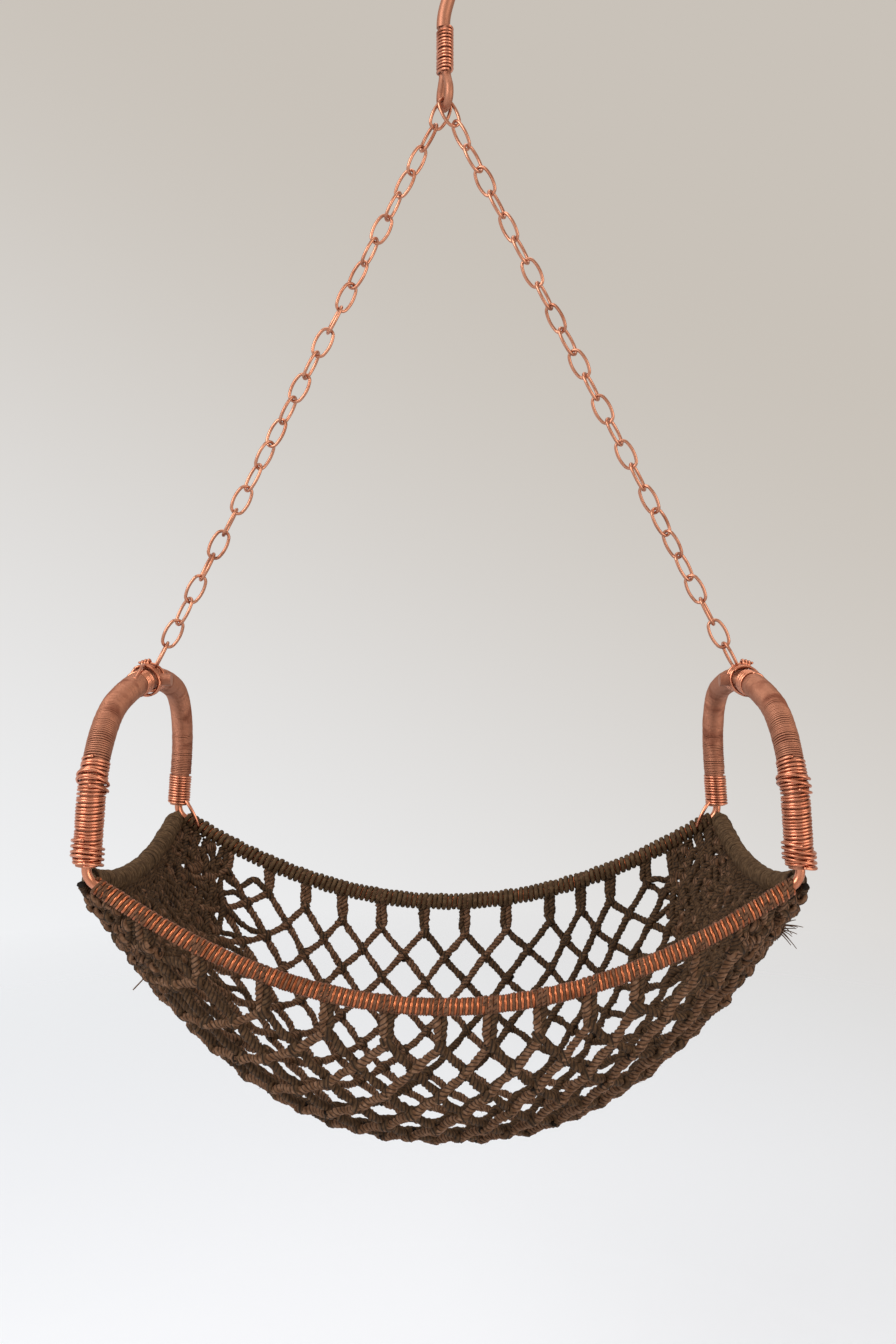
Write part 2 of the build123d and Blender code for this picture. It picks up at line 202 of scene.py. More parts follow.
@dataclass
class Skein:
    """Wires and cords gathered into one mesh, each as a section carried along its line."""

    feet_height: float
    points: list[Array] = field(default_factory=list)
    quads: list[Array] = field(default_factory=list)
    quad_maps: list[Array] = field(default_factory=list)
    tips: list[Array] = field(default_factory=list)
    tip_maps: list[Array] = field(default_factory=list)
    count: int = 0

    def lay(
        self,
        line: Array,
        facing: Array,
        profile: Profile,
        swell: Array | float = 1.0,
        rough: float = 0.0,
    ) -> None:
        """Lays one wire or cord: ring = line + swell * (cos * thick * face + sin * wide * side).

        face is the facing direction squared to the line, and side is square to both. The map's
        u goes once round the section and v is the length along the line in metres.

        Args:
            line: The centre line's points, in millimetres.
            facing: The direction of the section's first half size at each point.
            profile: The section.
            swell: A share that the section grows by, one number or one for each point.
            rough: How far single points stray from the section, as a share of it.
        """
        rings, sides = len(line), profile.sides
        way = unit(np.gradient(line, axis=0))
        face = unit(facing - (facing * way).sum(1, keepdims=True) * way)
        side = np.cross(way, face)
        angles, lobes = profile.outline()
        length = walked(line)
        twist = length[:, None] * TURN / profile.lay if profile.lay else np.zeros((rings, 1))
        turned = angles[None, :] + twist
        stray = np.random.default_rng(rings + self.count).normal(0.0, rough, (rings, sides))
        swollen = np.broadcast_to(np.asarray(swell), (rings,))[:, None]
        grow = (lobes[None, :] * swollen * (1 + stray))[..., None]
        ring = line[:, None] + grow * (
            profile.thick * np.cos(turned)[..., None] * face[:, None]
            + profile.wide * np.sin(turned)[..., None] * side[:, None]
        )
        i, j = np.meshgrid(np.arange(rings - 1), np.arange(sides), indexing="ij")
        after = (j + 1) % sides
        corners = [i * sides + j, i * sides + after, (i + 1) * sides + after, (i + 1) * sides + j]
        u, v = [j, j + 1, j + 1, j], [i, i, i + 1, i + 1]
        self.quads.append(np.stack(corners, -1).reshape(-1, 4) + self.count)
        maps = np.stack([np.stack(u, -1) / sides, length[np.stack(v, -1)] * MM], -1)
        self.quad_maps.append(maps.reshape(-1, 4, 2))
        around, pole = np.arange(sides), rings * sides
        first = np.stack([(around + 1) % sides, around, np.full(sides, pole)], -1)
        last = np.stack([around, (around + 1) % sides, np.full(sides, pole + 1)], -1)
        last[:, :2] += (rings - 1) * sides
        self.tips.append(np.concatenate([first, last]) + self.count)
        self.tip_maps.append(np.zeros((2 * sides, 3, 2)))
        self.points.append(np.concatenate([ring.reshape(-1, 3), line[[0, -1]]]))
        self.count += rings * sides + 2

    def spike(self, roots: Array, ways: Array, base: float) -> None:
        """Lays loose fibres, each a three-sided spike from its root along its way.

        Args:
            roots: Where the fibres start, in millimetres.
            ways: The direction and length of each fibre.
            base: Half the width of a fibre at its root.
        """
        many = len(roots)
        # Not quite upright, so that an upright fibre has a direction across it too
        leant = UP + 0.01
        across = unit(np.cross(ways, leant))
        other = unit(np.cross(ways, across))
        turns = np.arange(3) * TURN / 3
        ring = roots[:, None] + base * (
            np.cos(turns)[None, :, None] * across[:, None]
            + np.sin(turns)[None, :, None] * other[:, None]
        )
        points = np.concatenate([ring, (roots + ways)[:, None]], 1)
        shape = np.array([[0, 1, 3], [1, 2, 3], [2, 0, 3], [2, 1, 0]])
        faces = shape[None] + (np.arange(many) * 4)[:, None, None]
        self.tips.append(faces.reshape(-1, 3) + self.count)
        self.tip_maps.append(np.zeros((4 * many, 3, 2)))
        self.points.append(points.reshape(-1, 3))
        self.count += 4 * many

    def mesh(self, name: str) -> bpy.types.Object:
        """The gathered wires as one smooth object at the origin, in metres.

        Args:
            name: The object's name.

        Returns:
            The new object, linked to the scene.
        """
        points = np.concatenate(self.points) * MM
        points[:, 2] += self.feet_height
        quads, tips = np.concatenate(self.quads), np.concatenate(self.tips)
        corners = np.concatenate([quads.ravel(), tips.ravel()])
        sizes = np.concatenate([np.full(len(quads), 4), np.full(len(tips), 3)])
        maps = [np.concatenate(self.quad_maps).reshape(-1, 2)]
        maps.append(np.concatenate(self.tip_maps).reshape(-1, 2))
        data = bpy.data.meshes.new(name)
        data.vertices.add(len(points))
        data.vertices.foreach_set("co", points.ravel())
        data.loops.add(len(corners))
        data.loops.foreach_set("vertex_index", corners)
        data.polygons.add(len(sizes))
        data.polygons.foreach_set("loop_start", np.concatenate([[0], np.cumsum(sizes)[:-1]]))
        data.polygons.foreach_set("loop_total", sizes)
        data.uv_layers.new(name="along").data.foreach_set("uv", np.concatenate(maps).ravel())
        data.update(calc_edges=True)
        data.validate()
        data.polygons.foreach_set("use_smooth", np.ones(len(data.polygons), bool))
        made = bpy.data.objects.new(name, data)
        bpy.context.scene.collection.objects.link(made)
        return made


@dataclass(frozen=True)
class Core:
    """What a wire is wound on: a line, with two directions square to it at each point."""

    line: Array
    out: Array
    across: Array

    def wound(self, angle: Array, reach: Array) -> tuple[Array, Array]:
        """A wire's points, line + reach * (cos(angle) * out + sin(angle) * across).

        Args:
            angle: The angle round the core at each point.
            reach: The distance from the core's line at each point.

        Returns:
            The points and the direction from the core to each of them.
        """
        away = np.cos(angle)[:, None] * self.out + np.sin(angle)[:, None] * self.across
        return self.line + reach[:, None] * away, away


# Finishes


def add_node(
    tree: bpy.types.NodeTree, kind: str, sockets: dict | None = None, **settings: object
) -> bpy.types.Node:
    """Adds a node with its settings, its socket values and its links.

    Args:
        tree: The node tree.
        kind: The node's type name.
        sockets: Values or output sockets, by the input's name or number.
        settings: The node's own properties.

    Returns:
        The new node.
    """
    node = tree.nodes.new(kind)
    for name, value in settings.items():
        setattr(node, name, value)
    for name, value in (sockets or {}).items():
        if isinstance(value, bpy.types.NodeSocket):
            tree.links.new(value, node.inputs[name])
        else:
            node.inputs[name].default_value = value
    return node


def tone_mix(
    tree: bpy.types.NodeTree, share: bpy.types.NodeSocket | float, first: object, second: object
) -> bpy.types.NodeSocket:
    """The colour between two colours at a share.

    Args:
        tree: The node tree.
        share: The share of the second colour.
        first: A colour or a colour socket.
        second: A colour or a colour socket.

    Returns:
        The colour's output socket.
    """
    # A colour mix keeps its factor and its two colours in sockets 0, 6 and 7
    node = add_node(tree, "ShaderNodeMix", data_type="RGBA")
    for place, value in ((0, share), (6, first), (7, second)):
        if isinstance(value, bpy.types.NodeSocket):
            tree.links.new(value, node.inputs[place])
        else:
            node.inputs[place].default_value = value
    return node.outputs[2]


def started(name: str) -> tuple[bpy.types.Material, bpy.types.NodeTree]:
    """Starts a material.

    Args:
        name: Its name.

    Returns:
        The new material and its empty node tree.
    """
    material = bpy.data.materials.new(name)
    material.use_nodes = True
    material.node_tree.nodes.clear()
    return material, material.node_tree


def per_metre(size: float) -> float:
    """The scale that gives a noise texture features of a size in millimetres."""
    return 1 / (size * MM)


@dataclass(frozen=True)
class Copper:
    """Bare copper wire or rod. Drawing leaves it bright, handling and heat leave it brown.

    Tarnish starts where a noise passes its onset and is full at its height, both lowered by
    shift times the tarnish share. Tarnished metal is rougher by its dulling.
    """

    name: str
    bright: str
    tarnish: str
    tarnish_share: float
    roughness: float
    patch: float = 9.0
    metallic: float = 1.0
    onset: float = 0.62
    height: float = 0.78
    shift: float = 0.3
    dulling: float = 0.18

    def material(self) -> bpy.types.Material:
        """Copper whose brightness wanders between fresh metal and brown tarnish.

        Returns:
            The material.
        """
        material, tree = started(self.name)
        place = add_node(tree, "ShaderNodeTexCoord").outputs["Object"]
        sockets = {"Vector": place, "Scale": per_metre(self.patch), "Detail": 4.0}
        patches = add_node(tree, "ShaderNodeTexNoise", sockets).outputs["Fac"]
        lower = self.shift * self.tarnish_share
        low, high = self.onset - lower, self.height - lower
        sockets = {"Value": patches, "From Min": low, "From Max": high}
        share = add_node(tree, "ShaderNodeMapRange", sockets).outputs["Result"]
        colour = tone_mix(tree, share, linear(self.bright), linear(self.tarnish))
        rougher = self.roughness + self.dulling
        sockets = {"Value": share, "To Min": self.roughness, "To Max": rougher}
        dull = add_node(tree, "ShaderNodeMapRange", sockets).outputs["Result"]
        sockets = {"Base Color": colour, "Metallic": self.metallic, "Roughness": dull}
        shader = add_node(tree, "ShaderNodeBsdfPrincipled", sockets)
        add_node(tree, "ShaderNodeOutputMaterial", {"Surface": shader.outputs[0]})
        return material


@dataclass(frozen=True)
class TwistedCord:
    """Waxed plant-fibre cord, dyed brown. Its plies keep their colour, and the grooves between them
    are darkened as painted shade.

    The phase moves the first groove: at 0 it is on the cord's outward side, and half a ply on
    it is where a wound cord meets its next turn. Dust lies in worn patches of wear_size, and
    fibres run along the cord for fibre_run, in fibre_rows round it. Sizes are in millimetres.
    """

    name: str
    ply: str
    dust: str
    # The colour of the painted shade in the grooves
    groove: str
    plies: int = 3
    phase: float = 0.0
    groove_shade_from: float = 0.26
    wear_size: float = 3.0
    wear_from: float = 0.42
    wear_to: float = 0.66
    fibre: float = 0.35
    fibre_run: float = 2.0
    fibre_rows: float = 14.0
    fibre_strength: float = 0.6
    roughness: float = 0.78
    shine: float = 0.2

    def material(self) -> bpy.types.Material:
        """Cord with painted shade in the groove between its plies and short streaks of fibre along
        them.

        Returns:
            The material.
        """
        material, tree = started(self.name)
        coordinates = add_node(tree, "ShaderNodeTexCoord")
        along = add_node(tree, "ShaderNodeSeparateXYZ", {0: coordinates.outputs["UV"]})
        sockets = {0: along.outputs["X"], 1: float(self.plies), 2: self.phase}
        laps = add_node(tree, "ShaderNodeMath", sockets, operation="MULTIPLY_ADD")
        lap = add_node(tree, "ShaderNodeMath", {0: laps.outputs[0]}, operation="FRACT")
        off = add_node(tree, "ShaderNodeMath", {0: lap.outputs[0], 1: 0.5}, operation="SUBTRACT")
        far = add_node(tree, "ShaderNodeMath", {0: off.outputs[0]}, operation="ABSOLUTE")
        # Painted shade: the cord is darkened to the groove colour in the grooves between its plies
        # or its turns
        sockets = {"Value": far.outputs[0], "From Min": self.groove_shade_from, "From Max": 0.5}
        painted_groove_shade = add_node(tree, "ShaderNodeMapRange", sockets).outputs["Result"]
        sockets = {"Vector": coordinates.outputs["Object"], "Scale": per_metre(self.wear_size)}
        wear = add_node(tree, "ShaderNodeTexNoise", sockets | {"Detail": 6.0}).outputs["Fac"]
        sockets = {"Value": wear, "From Min": self.wear_from, "From Max": self.wear_to}
        dusty = add_node(tree, "ShaderNodeMapRange", sockets).outputs["Result"]
        body = tone_mix(tree, dusty, linear(self.ply), linear(self.dust))
        colour = tone_mix(tree, painted_groove_shade, body, linear(self.groove))
        scale = self.fibre_rows, per_metre(self.fibre_run), 1.0
        sockets = {"Vector": coordinates.outputs["UV"], "Scale": scale}
        stretch = add_node(tree, "ShaderNodeMapping", sockets)
        sockets = {"Vector": stretch.outputs[0], "Scale": 1.0, "Detail": 5.0}
        fibres = add_node(tree, "ShaderNodeTexNoise", sockets).outputs["Fac"]
        sockets = {"Height": fibres, "Strength": self.fibre_strength}
        bump = add_node(tree, "ShaderNodeBump", sockets | {"Distance": self.fibre * MM})
        sockets = {"Base Color": colour, "Roughness": self.roughness, "Normal": bump.outputs[0]}
        sockets["Specular IOR Level"] = self.shine
        shader = add_node(tree, "ShaderNodeBsdfPrincipled", sockets)
        add_node(tree, "ShaderNodeOutputMaterial", {"Surface": shader.outputs[0]})
        return material


@dataclass(frozen=True)
class BareCane:
    """The cane under the end rails' cord, cut and left unfinished, with a fine grain."""

    name: str
    pale: str
    dark: str
    grain: float = 2.0
    roughness: float = 0.7

    def material(self) -> bpy.types.Material:
        """Cane whose grain has specks of a size in millimetres.

        Returns:
            The material.
        """
        material, tree = started(self.name)
        place = add_node(tree, "ShaderNodeTexCoord").outputs["Object"]
        sockets = {"Vector": place, "Scale": per_metre(self.grain), "Detail": 4.0}
        grain = add_node(tree, "ShaderNodeTexNoise", sockets).outputs["Fac"]
        colour = tone_mix(tree, grain, linear(self.pale), linear(self.dark))
        sockets = {"Base Color": colour, "Roughness": self.roughness}
        shader = add_node(tree, "ShaderNodeBsdfPrincipled", sockets)
        add_node(tree, "ShaderNodeOutputMaterial", {"Surface": shader.outputs[0]})
        return material


@dataclass(frozen=True)
class Finishes:
    """Every material of the basket, made once."""

    bright: bpy.types.Material
    chain: bpy.types.Material
    matte: bpy.types.Material
    rim_wire: bpy.types.Material
    cane: bpy.types.Material
    # The next two are painted light and shade: a lit and a shaded copy of the one net cord
    pale_cord: bpy.types.Material
    dark_cord: bpy.types.Material
    rim_cord: bpy.types.Material
    back_cord: bpy.types.Material
    rail_cord: bpy.types.Material

    @classmethod
    def made(cls) -> "Finishes":
        """Makes all the finishes, in the colours of the real ones, except that the pale and dark
        net cords are a lit and a shaded copy of one cord, as painted light and shade.

        A wound cord has two grooves of painted shade round it, turned half a ply to where its turns
        meet.

        Returns:
            The finishes.
        """
        # Painted shade in two grooves, half a ply on, where a wound cord's turns meet
        wound = 2, 0.5
        return cls(
            bright=Copper("Drawn copper wire", "#CB8568", "#9A593F", 0.3, 0.27, 14.0).material(),
            chain=Copper("Bent copper link", "#BF856B", "#965F48", 0.25, 0.32, 22.0).material(),
            matte=Copper(
                "Handled copper", "#A77159", "#8A5541", 0.35, 0.52, 16.0, 0.85
            ).material(),
            rim_wire=Copper("Copper rim wire", "#BC6E4A", "#784127", 0.45, 0.34, 20.0).material(),
            cane=BareCane("Bare cane", "#6B553A", "#493622").material(),
            # Painted light: the lit copy of the net's cord
            pale_cord=TwistedCord("Worn brown cord", "#5E402A", "#80604A", "#1A1008").material(),
            # Painted shade: the shaded copy of the same cord
            dark_cord=TwistedCord("Dark brown cord", "#412D1B", "#5C432D", "#160E07").material(),
            rim_cord=TwistedCord("Rim cord", "#5A3B27", "#77523C", "#1C120A", *wound).material(),
            back_cord=TwistedCord(
                "Back rim cord", "#44311D", "#5E4831", "#100A04", *wound
            ).material(),
            rail_cord=TwistedCord(
                "Waxed rail cord", "#43301D", "#5E4730", "#120A04", *wound
            ).material(),
        )


def dressed(
    piece: bpy.types.Object, finish: bpy.types.Material, slot: str, body: str, *nodes: str
) -> bpy.types.Object:
    """Gives a piece its finish and its body, and hides the nodes that it stands for.

    Args:
        piece: The new piece.
        finish: Its material.
        slot: The record's material slot; not used.
        body: The body that it rides on.
        nodes: The nodes that it replaces.

    Returns:
        The same piece.
    """
    piece.data.materials.clear()
    piece.data.materials.append(finish)
    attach(piece, body)
    if nodes:
        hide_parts(*nodes)
    faces = len(piece.data.polygons)
    LOG.info("%s: %d faces, rides on %s", piece.name, faces, body)
    return piece


# The basket's shape, as in the CAD source


@dataclass(frozen=True)
class Shape:
    """The driving sizes and lines of the basket."""

    half_length: float = 200.0
    half_width: float = 116.0
    front_sag: float = 73.0
    back_sag: float = 66.0
    rail_sag: float = 18.0
    straight_share: float = 0.89
    leg_straight: float = 40.0
    corner: float = 58.0
    corner_turn: float = math.radians(75.0)
    lean: float = math.radians(4.4)
    net_depth: float = 181.0
    net_end_depth: float = 29.0
    net_taper: float = 2.4
    net_overhang: float = 4.0
    net_fullness: float = 0.74

    @property
    def crown(self) -> float:
        """The radius of a handle's top arc."""
        return self.corner + (self.half_width - self.corner) / math.cos(self.corner_turn)

    @property
    def handle_half(self) -> float:
        """The length of a handle's line from a foot to its top."""
        left = math.pi / 2 - self.corner_turn
        return self.leg_straight + self.corner * self.corner_turn + self.crown * left

    def handle(self, side: Side, end: End, along: Array) -> Core:
        """A handle's line from one foot: a straight leg, a corner arc and half of the top arc.

        Args:
            side: The handle.
            end: The leg.
            along: Lengths from the foot.

        Returns:
            The line and the directions away from the handle's middle and across its plane.
        """
        crown_turn = (along - self.leg_straight - self.corner * self.corner_turn) / self.crown
        turned = np.where(
            crown_turn > 0,
            self.corner_turn + crown_turn,
            np.clip((along - self.leg_straight) / self.corner, 0, None),
        )
        radius = np.where(crown_turn > 0, self.crown, self.corner)
        inset = self.half_width - self.corner
        centre_y = np.where(crown_turn > 0, 0.0, inset)
        drop = inset / math.cos(self.corner_turn) * math.sin(self.corner_turn)
        centre_h = np.where(crown_turn > 0, self.leg_straight - drop, self.leg_straight)
        y = centre_y + radius * np.cos(turned)
        h = centre_h + radius * np.sin(turned) - np.clip(self.leg_straight - along, 0, None)
        up = np.array([-side.value * math.sin(self.lean), 0, math.cos(self.lean)])
        origin = np.array([side.value * self.half_length, 0, 0])
        line = origin + end.value * y[:, None] * Y_WAY + h[:, None] * up
        out = end.value * np.cos(turned)[:, None] * Y_WAY + np.sin(turned)[:, None] * up
        across = np.broadcast_to(np.cross(Y_WAY, up), line.shape)
        return Core(line, out, across)

    def rim_height(self, x: Array, end: End) -> Array:
        """A rim's height: a hanging parabola, with a straight run along its tangent at the feet.

        Args:
            x: Places along the basket.
            end: The rim.

        Returns:
            Its height at each place.
        """
        sag = self.front_sag if end is End.FRONT else self.back_sag
        joint = self.half_length * self.straight_share
        inside = np.clip(np.abs(x), 0, joint)
        slope = 2 * sag * joint / self.half_length**2
        curve = -sag * (1 - (inside / self.half_length) ** 2)
        return curve + slope * (np.abs(x) - inside)

    def rim(self, end: End, reach: float, count: int) -> Core:
        """A rim's line from one end to the other.

        Args:
            end: The rim.
            reach: How far it goes along X on each side.
            count: The number of points.

        Returns:
            The line, with the directions up and level square to it.
        """
        x = np.linspace(-reach, reach, count)
        y = np.full(count, end.value * self.half_width)
        line = np.stack([x, y, self.rim_height(x, end)], -1)
        way = unit(np.gradient(line, axis=0))
        level = np.broadcast_to(Y_WAY, line.shape)
        return Core(line, np.cross(way, level), level)

    def rail(self, side: Side, reach: float, count: int) -> Core:
        """An end rail's line between the feet, -sag * (1 - (y / half width)^2) high.

        Args:
            side: The end that the rail is on.
            reach: How far it goes along Y on each side.
            count: The number of points.

        Returns:
            The line, with the directions up and level square to it.
        """
        y = np.linspace(-reach, reach, count)
        z = -self.rail_sag * (1 - (y / self.half_width) ** 2)
        line = np.stack([np.full(count, side.value * self.half_length), y, z], -1)
        way = unit(np.gradient(line, axis=0))
        level = np.broadcast_to(X_WAY, line.shape)
        return Core(line, np.cross(level, way), level)

    def net(self, x: Array, v: Array) -> Array:
        """The net's surface.

        At each x the section is two arcs, each through the rim, a point at the net's fullness
        and the lowest line, whose height is -end_depth - (depth - end_depth) *
        (1 - |x / full|^taper). v is the share of the way round: -1 on the front rim, 0 on
        the lowest line and 1 on the back rim.

        Args:
            x: Places along the basket.
            v: Shares of the way round the section.

        Returns:
            The points.
        """
        full = self.half_length + self.net_overhang
        share = 1 - np.clip(np.abs(x / full), 0, 1) ** self.net_taper
        low = -self.net_end_depth - (self.net_depth - self.net_end_depth) * share
        shrunk = x * self.half_length / full
        front, back = (self.rim_height(shrunk, end) for end in (End.FRONT, End.BACK))
        top = np.where(v > 0, back, front)
        rim_y, mid_y = self.half_width, self.half_width * self.net_fullness
        mid = top + (low - top) * self.net_fullness
        first, second, third = rim_y**2 + top**2, mid_y**2 + mid**2, low**2
        twice = 2 * (rim_y * (mid - low) + mid_y * (low - top))
        centre_y = (first * (mid - low) + second * (low - top) + third * (top - mid)) / twice
        centre_z = (first * -mid_y + second * rim_y + third * (mid_y - rim_y)) / twice
        start = np.arctan2(top - centre_z, rim_y - centre_y)
        stop = np.arctan2(low - centre_z, -centre_y)
        radius = np.hypot(rim_y - centre_y, top - centre_z)
        angle = start + (stop - start) * (1 - np.abs(v))
        y = centre_y + radius * np.cos(angle)
        z = centre_z + radius * np.sin(angle)
        return np.stack([x, np.where(v > 0, y, -y), z], -1)

    def net_facing(self, x: Array, v: Array) -> Array:
        """The direction out of the net, square to its surface, by small steps along x and v.

        Steps over the surface's edges and over its lowest line would mislead, so places near
        them are moved off.

        Args:
            x: Places along the basket.
            v: Shares of the way round the section.

        Returns:
            A direction of length 1 at each place.
        """
        tiny_x, tiny_v = 0.5, 0.004
        farthest, widest = self.half_length + self.net_overhang - 2 * tiny_x, 0.99
        x = np.clip(x, -farthest, farthest)
        v = np.where(np.abs(v) > widest, np.sign(v) * widest, v)
        v = np.where(np.abs(v) < 2 * tiny_v, 2 * tiny_v, v)
        along = self.net(x + tiny_x, v) - self.net(x - tiny_x, v)
        around = self.net(x, v + tiny_v) - self.net(x, v - tiny_v)
        return unit(np.cross(around, along))


# Sub-assemblies


@dataclass(frozen=True)
class Binding:
    """A leg's foot binding, and how far below the handle's top its part of the lashing ends."""

    turns: int
    pitch: float
    loose: float
    top_gap: float


@dataclass
class Handles:
    """The two bound copper handles that carry the basket.

    Places along a handle are lengths from a foot. The turns of a winding stray from their
    places by its looseness, tilt by a share of it and lift off the rod by another.
    """

    shape: Shape
    finishes: Finishes
    feet_height: float
    rod: float = 12.6
    wire: float = 1.8
    wire_sides: int = 7
    steps: int = 30
    foot_gap: float = 6.5
    front: Binding = Binding(31, 1.9, 0.42, 15.0)
    back: Binding = Binding(11, 1.96, 0.3, 2.4)
    fine_wire: float = 1.2
    fine_pitch: float = 1.22
    fine_loose: float = 0.42
    fine_crowd: float = 2.2
    lashing_turns: int = 6
    lashing_pitch: float = 2.4
    lashing_loose: float = 0.7
    tilt_share: float = 0.6
    tilt_crowd: float = 2.6
    lift_share: float = 0.25
    lift_crowd: float = 1.3
    over_plans: tuple[tuple[float, float, float], ...] = ((8.0, 2.9, 4.0), (50.0, 3.4, 2.2))
    over_slant: float = 2.6
    over_stray: float = 0.8
    over_crowd: float = 0.8
    over_reach_share: float = 1.35
    slack_turns: float = 3.3
    slack_points: int = 110
    slack_start: float = 12.5
    slack_pitch: float = 2.6
    slack_sway: float = 1.2
    slack_lag: float = 0.8
    slack_least: float = 1.5
    slack_more: float = 1.3
    span_points: int = 40
    span_start: float = 46.0
    span_length: float = 40.0
    span_rise: float = 4.6
    span_bow: float = 1.3
    span_aside: float = 0.35
    coil_turns: float = 3.3
    coil_points: int = 100
    coil_lean: float = 0.62
    coil_step: float = 0.19
    coil_gap: float = 0.9
    coil_stray: float = 0.3
    coil_crowd: float = 0.7
    tail_foot: float = 10.0
    tail_gap: float = 0.9
    tail_inward_share: float = 0.6
    tail_aside_share: float = 0.8
    tail_end: float = 184.0
    tail_inset: float = 5.0
    tail_lift: float = 1.0
    tail_bow: tuple[float, float, float] = (2.0, 3.5, 2.0)
    tail_points: int = 30
    tail_thick_share: float = 0.45
    tail_wide_share: float = 0.75

    @property
    def section(self) -> Profile:
        """The section of the binding wire."""
        return Profile(self.wire / 2, self.wire / 2, self.wire_sides)

    @property
    def touching(self) -> float:
        """The distance from the rod's line to the line of a wire that lies on it."""
        return self.rod / 2 + self.wire / 2

    def winding(
        self,
        skein: Skein,
        side: Side,
        end: End,
        start: float,
        pitch: float,
        turns: float,
        wire: float,
        loose: float,
        seed: int,
        crowd: float = 0.9,
    ) -> None:
        """Winds wire round a leg by hand: a helix whose turns crowd, part and lean a little.

        Args:
            skein: The mesh that takes the wire.
            side: The handle.
            end: The leg.
            start: The length from the foot to the first turn.
            pitch: The mean distance between turns.
            turns: The number of turns.
            wire: The wire's thickness.
            loose: How far a turn may stray from its place.
            seed: The seed of the unevenness.
            crowd: The number of turns from one crowded place to the next.
        """
        turn = np.linspace(0, turns, int(turns * self.steps))
        stray = loose * smooth_noise(turn, crowd, seed)
        lean = self.tilt_share * loose * smooth_noise(turn, self.tilt_crowd, seed + 1)
        along = start + pitch * turn + stray + lean * np.sin(TURN * turn)
        core = self.shape.handle(side, end, along)
        lift = self.lift_share * loose * (1 + smooth_noise(turn, self.lift_crowd, seed + 2))
        line, away = core.wound(TURN * turn, self.rod / 2 + wire / 2 + lift)
        skein.lay(line, away, Profile(wire / 2, wire / 2, self.wire_sides))

    def fine_winding(self, side: Side, end: End, start: float, stop: float, seed: int) -> Skein:
        """The close fine winding that covers a leg between its two bindings.

        Args:
            side: The handle.
            end: The leg.
            start: The length from the foot to its first turn.
            stop: The length from the foot to its last turn.
            seed: The seed of its unevenness.

        Returns:
            The winding, ready to be made a mesh.
        """
        skein = Skein(self.feet_height)
        pitch, wire, loose = self.fine_pitch, self.fine_wire, self.fine_loose
        turns = (stop - start) / pitch
        self.winding(skein, side, end, start, pitch, turns, wire, loose, seed, self.fine_crowd)
        return skein

    def build(self) -> None:
        """Winds and dresses both handles."""
        for side in Side:
            lashing = Skein(self.feet_height)
            self.leg(side, End.FRONT, self.front, lashing)
            self.leg(side, End.BACK, self.back, lashing)
            self.slack_lashing(lashing, side)
            if side is Side.LEFT:
                self.slack_span(lashing, side)
            self.ring_coil(lashing, side)
            piece = lashing.mesh(f"{side.word}_top_winding")
            node = f"{side.word}_top_lashing"
            dressed(piece, self.finishes.bright, "bright_copper", "basket", node)

    def leg(self, side: Side, end: End, binding: Binding, lashing: Skein) -> None:
        """Winds one leg: its foot binding, its fine winding and its turns of the lashing.

        Args:
            side: The handle.
            end: The leg.
            binding: The turns of its foot and the place of its lashing.
            lashing: The mesh that takes the lashing's turns.
        """
        name, seed = f"{side.word}_{end.word}", 40 + 10 * side.value + 3 * end.value
        first = self.foot_gap + self.wire / 2
        top = self.shape.handle_half - binding.top_gap - self.lashing_turns * self.lashing_pitch
        turns, pitch = binding.turns, binding.pitch
        foot = Skein(self.feet_height)
        self.winding(foot, side, end, first, pitch, turns, self.wire, binding.loose, seed)
        if end is End.FRONT:
            self.over_turns(foot, side, seed)
        else:
            self.tail_wire(foot, side)
        piece = foot.mesh(f"{name}_foot_winding")
        node = f"{name}_foot_binding"
        dressed(piece, self.finishes.bright, "bright_copper", "basket", node)
        start = first + turns * pitch + self.wire / 2
        stop = top - 3 * self.wire / 2
        fine = self.fine_winding(side, end, start, stop, seed + 5)
        piece = fine.mesh(f"{side.word}_handle_{end.word}_winding")
        node = f"{side.word}_handle_{end.word}_wrap"
        dressed(piece, self.finishes.matte, "matte_copper", "basket", node)
        turns, pitch, loose = self.lashing_turns, self.lashing_pitch, self.lashing_loose
        start = top - self.wire
        self.winding(lashing, side, end, start, pitch, turns, self.wire, loose, seed + 8)

    def over_turns(self, skein: Skein, side: Side, seed: int) -> None:
        """The second layer of a front foot binding: slanted turns that cross the first ones.

        Args:
            skein: The mesh that takes them.
            side: The handle.
            seed: The seed of their unevenness.
        """
        for start, pitch, turns in self.over_plans:
            turn = np.linspace(0, turns, int(turns * self.steps))
            slant = self.over_slant * np.sin(TURN * turn + seed)
            stray = self.over_stray * smooth_noise(turn, self.over_crowd, seed + 7)
            core = self.shape.handle(side, End.FRONT, start + pitch * turn + slant + stray)
            reach = np.full(len(turn), self.rod / 2 + self.over_reach_share * self.wire)
            line, away = core.wound(TURN * turn, reach)
            skein.lay(line, away, self.section)

    def slack_lashing(self, skein: Skein, side: Side) -> None:
        """The lashing's slack turns, which stand off the arch and run on past its top.

        Args:
            skein: The mesh that takes them.
            side: The handle.
        """
        half = self.shape.handle_half
        turn = np.linspace(0, self.slack_turns, self.slack_points)
        sway = self.slack_sway * np.sin(TURN * turn + 1)
        along = half - self.slack_start + self.slack_pitch * turn + sway
        core = self.shape.handle(side, End.FRONT, np.minimum(along, half))
        slack = self.slack_least + self.slack_more * np.cos(TURN * turn) ** 2
        line, away = core.wound(TURN * turn - self.slack_lag, self.touching + slack)
        line = line + (along - np.minimum(along, half))[:, None] * Y_WAY
        skein.lay(line, away, self.section)

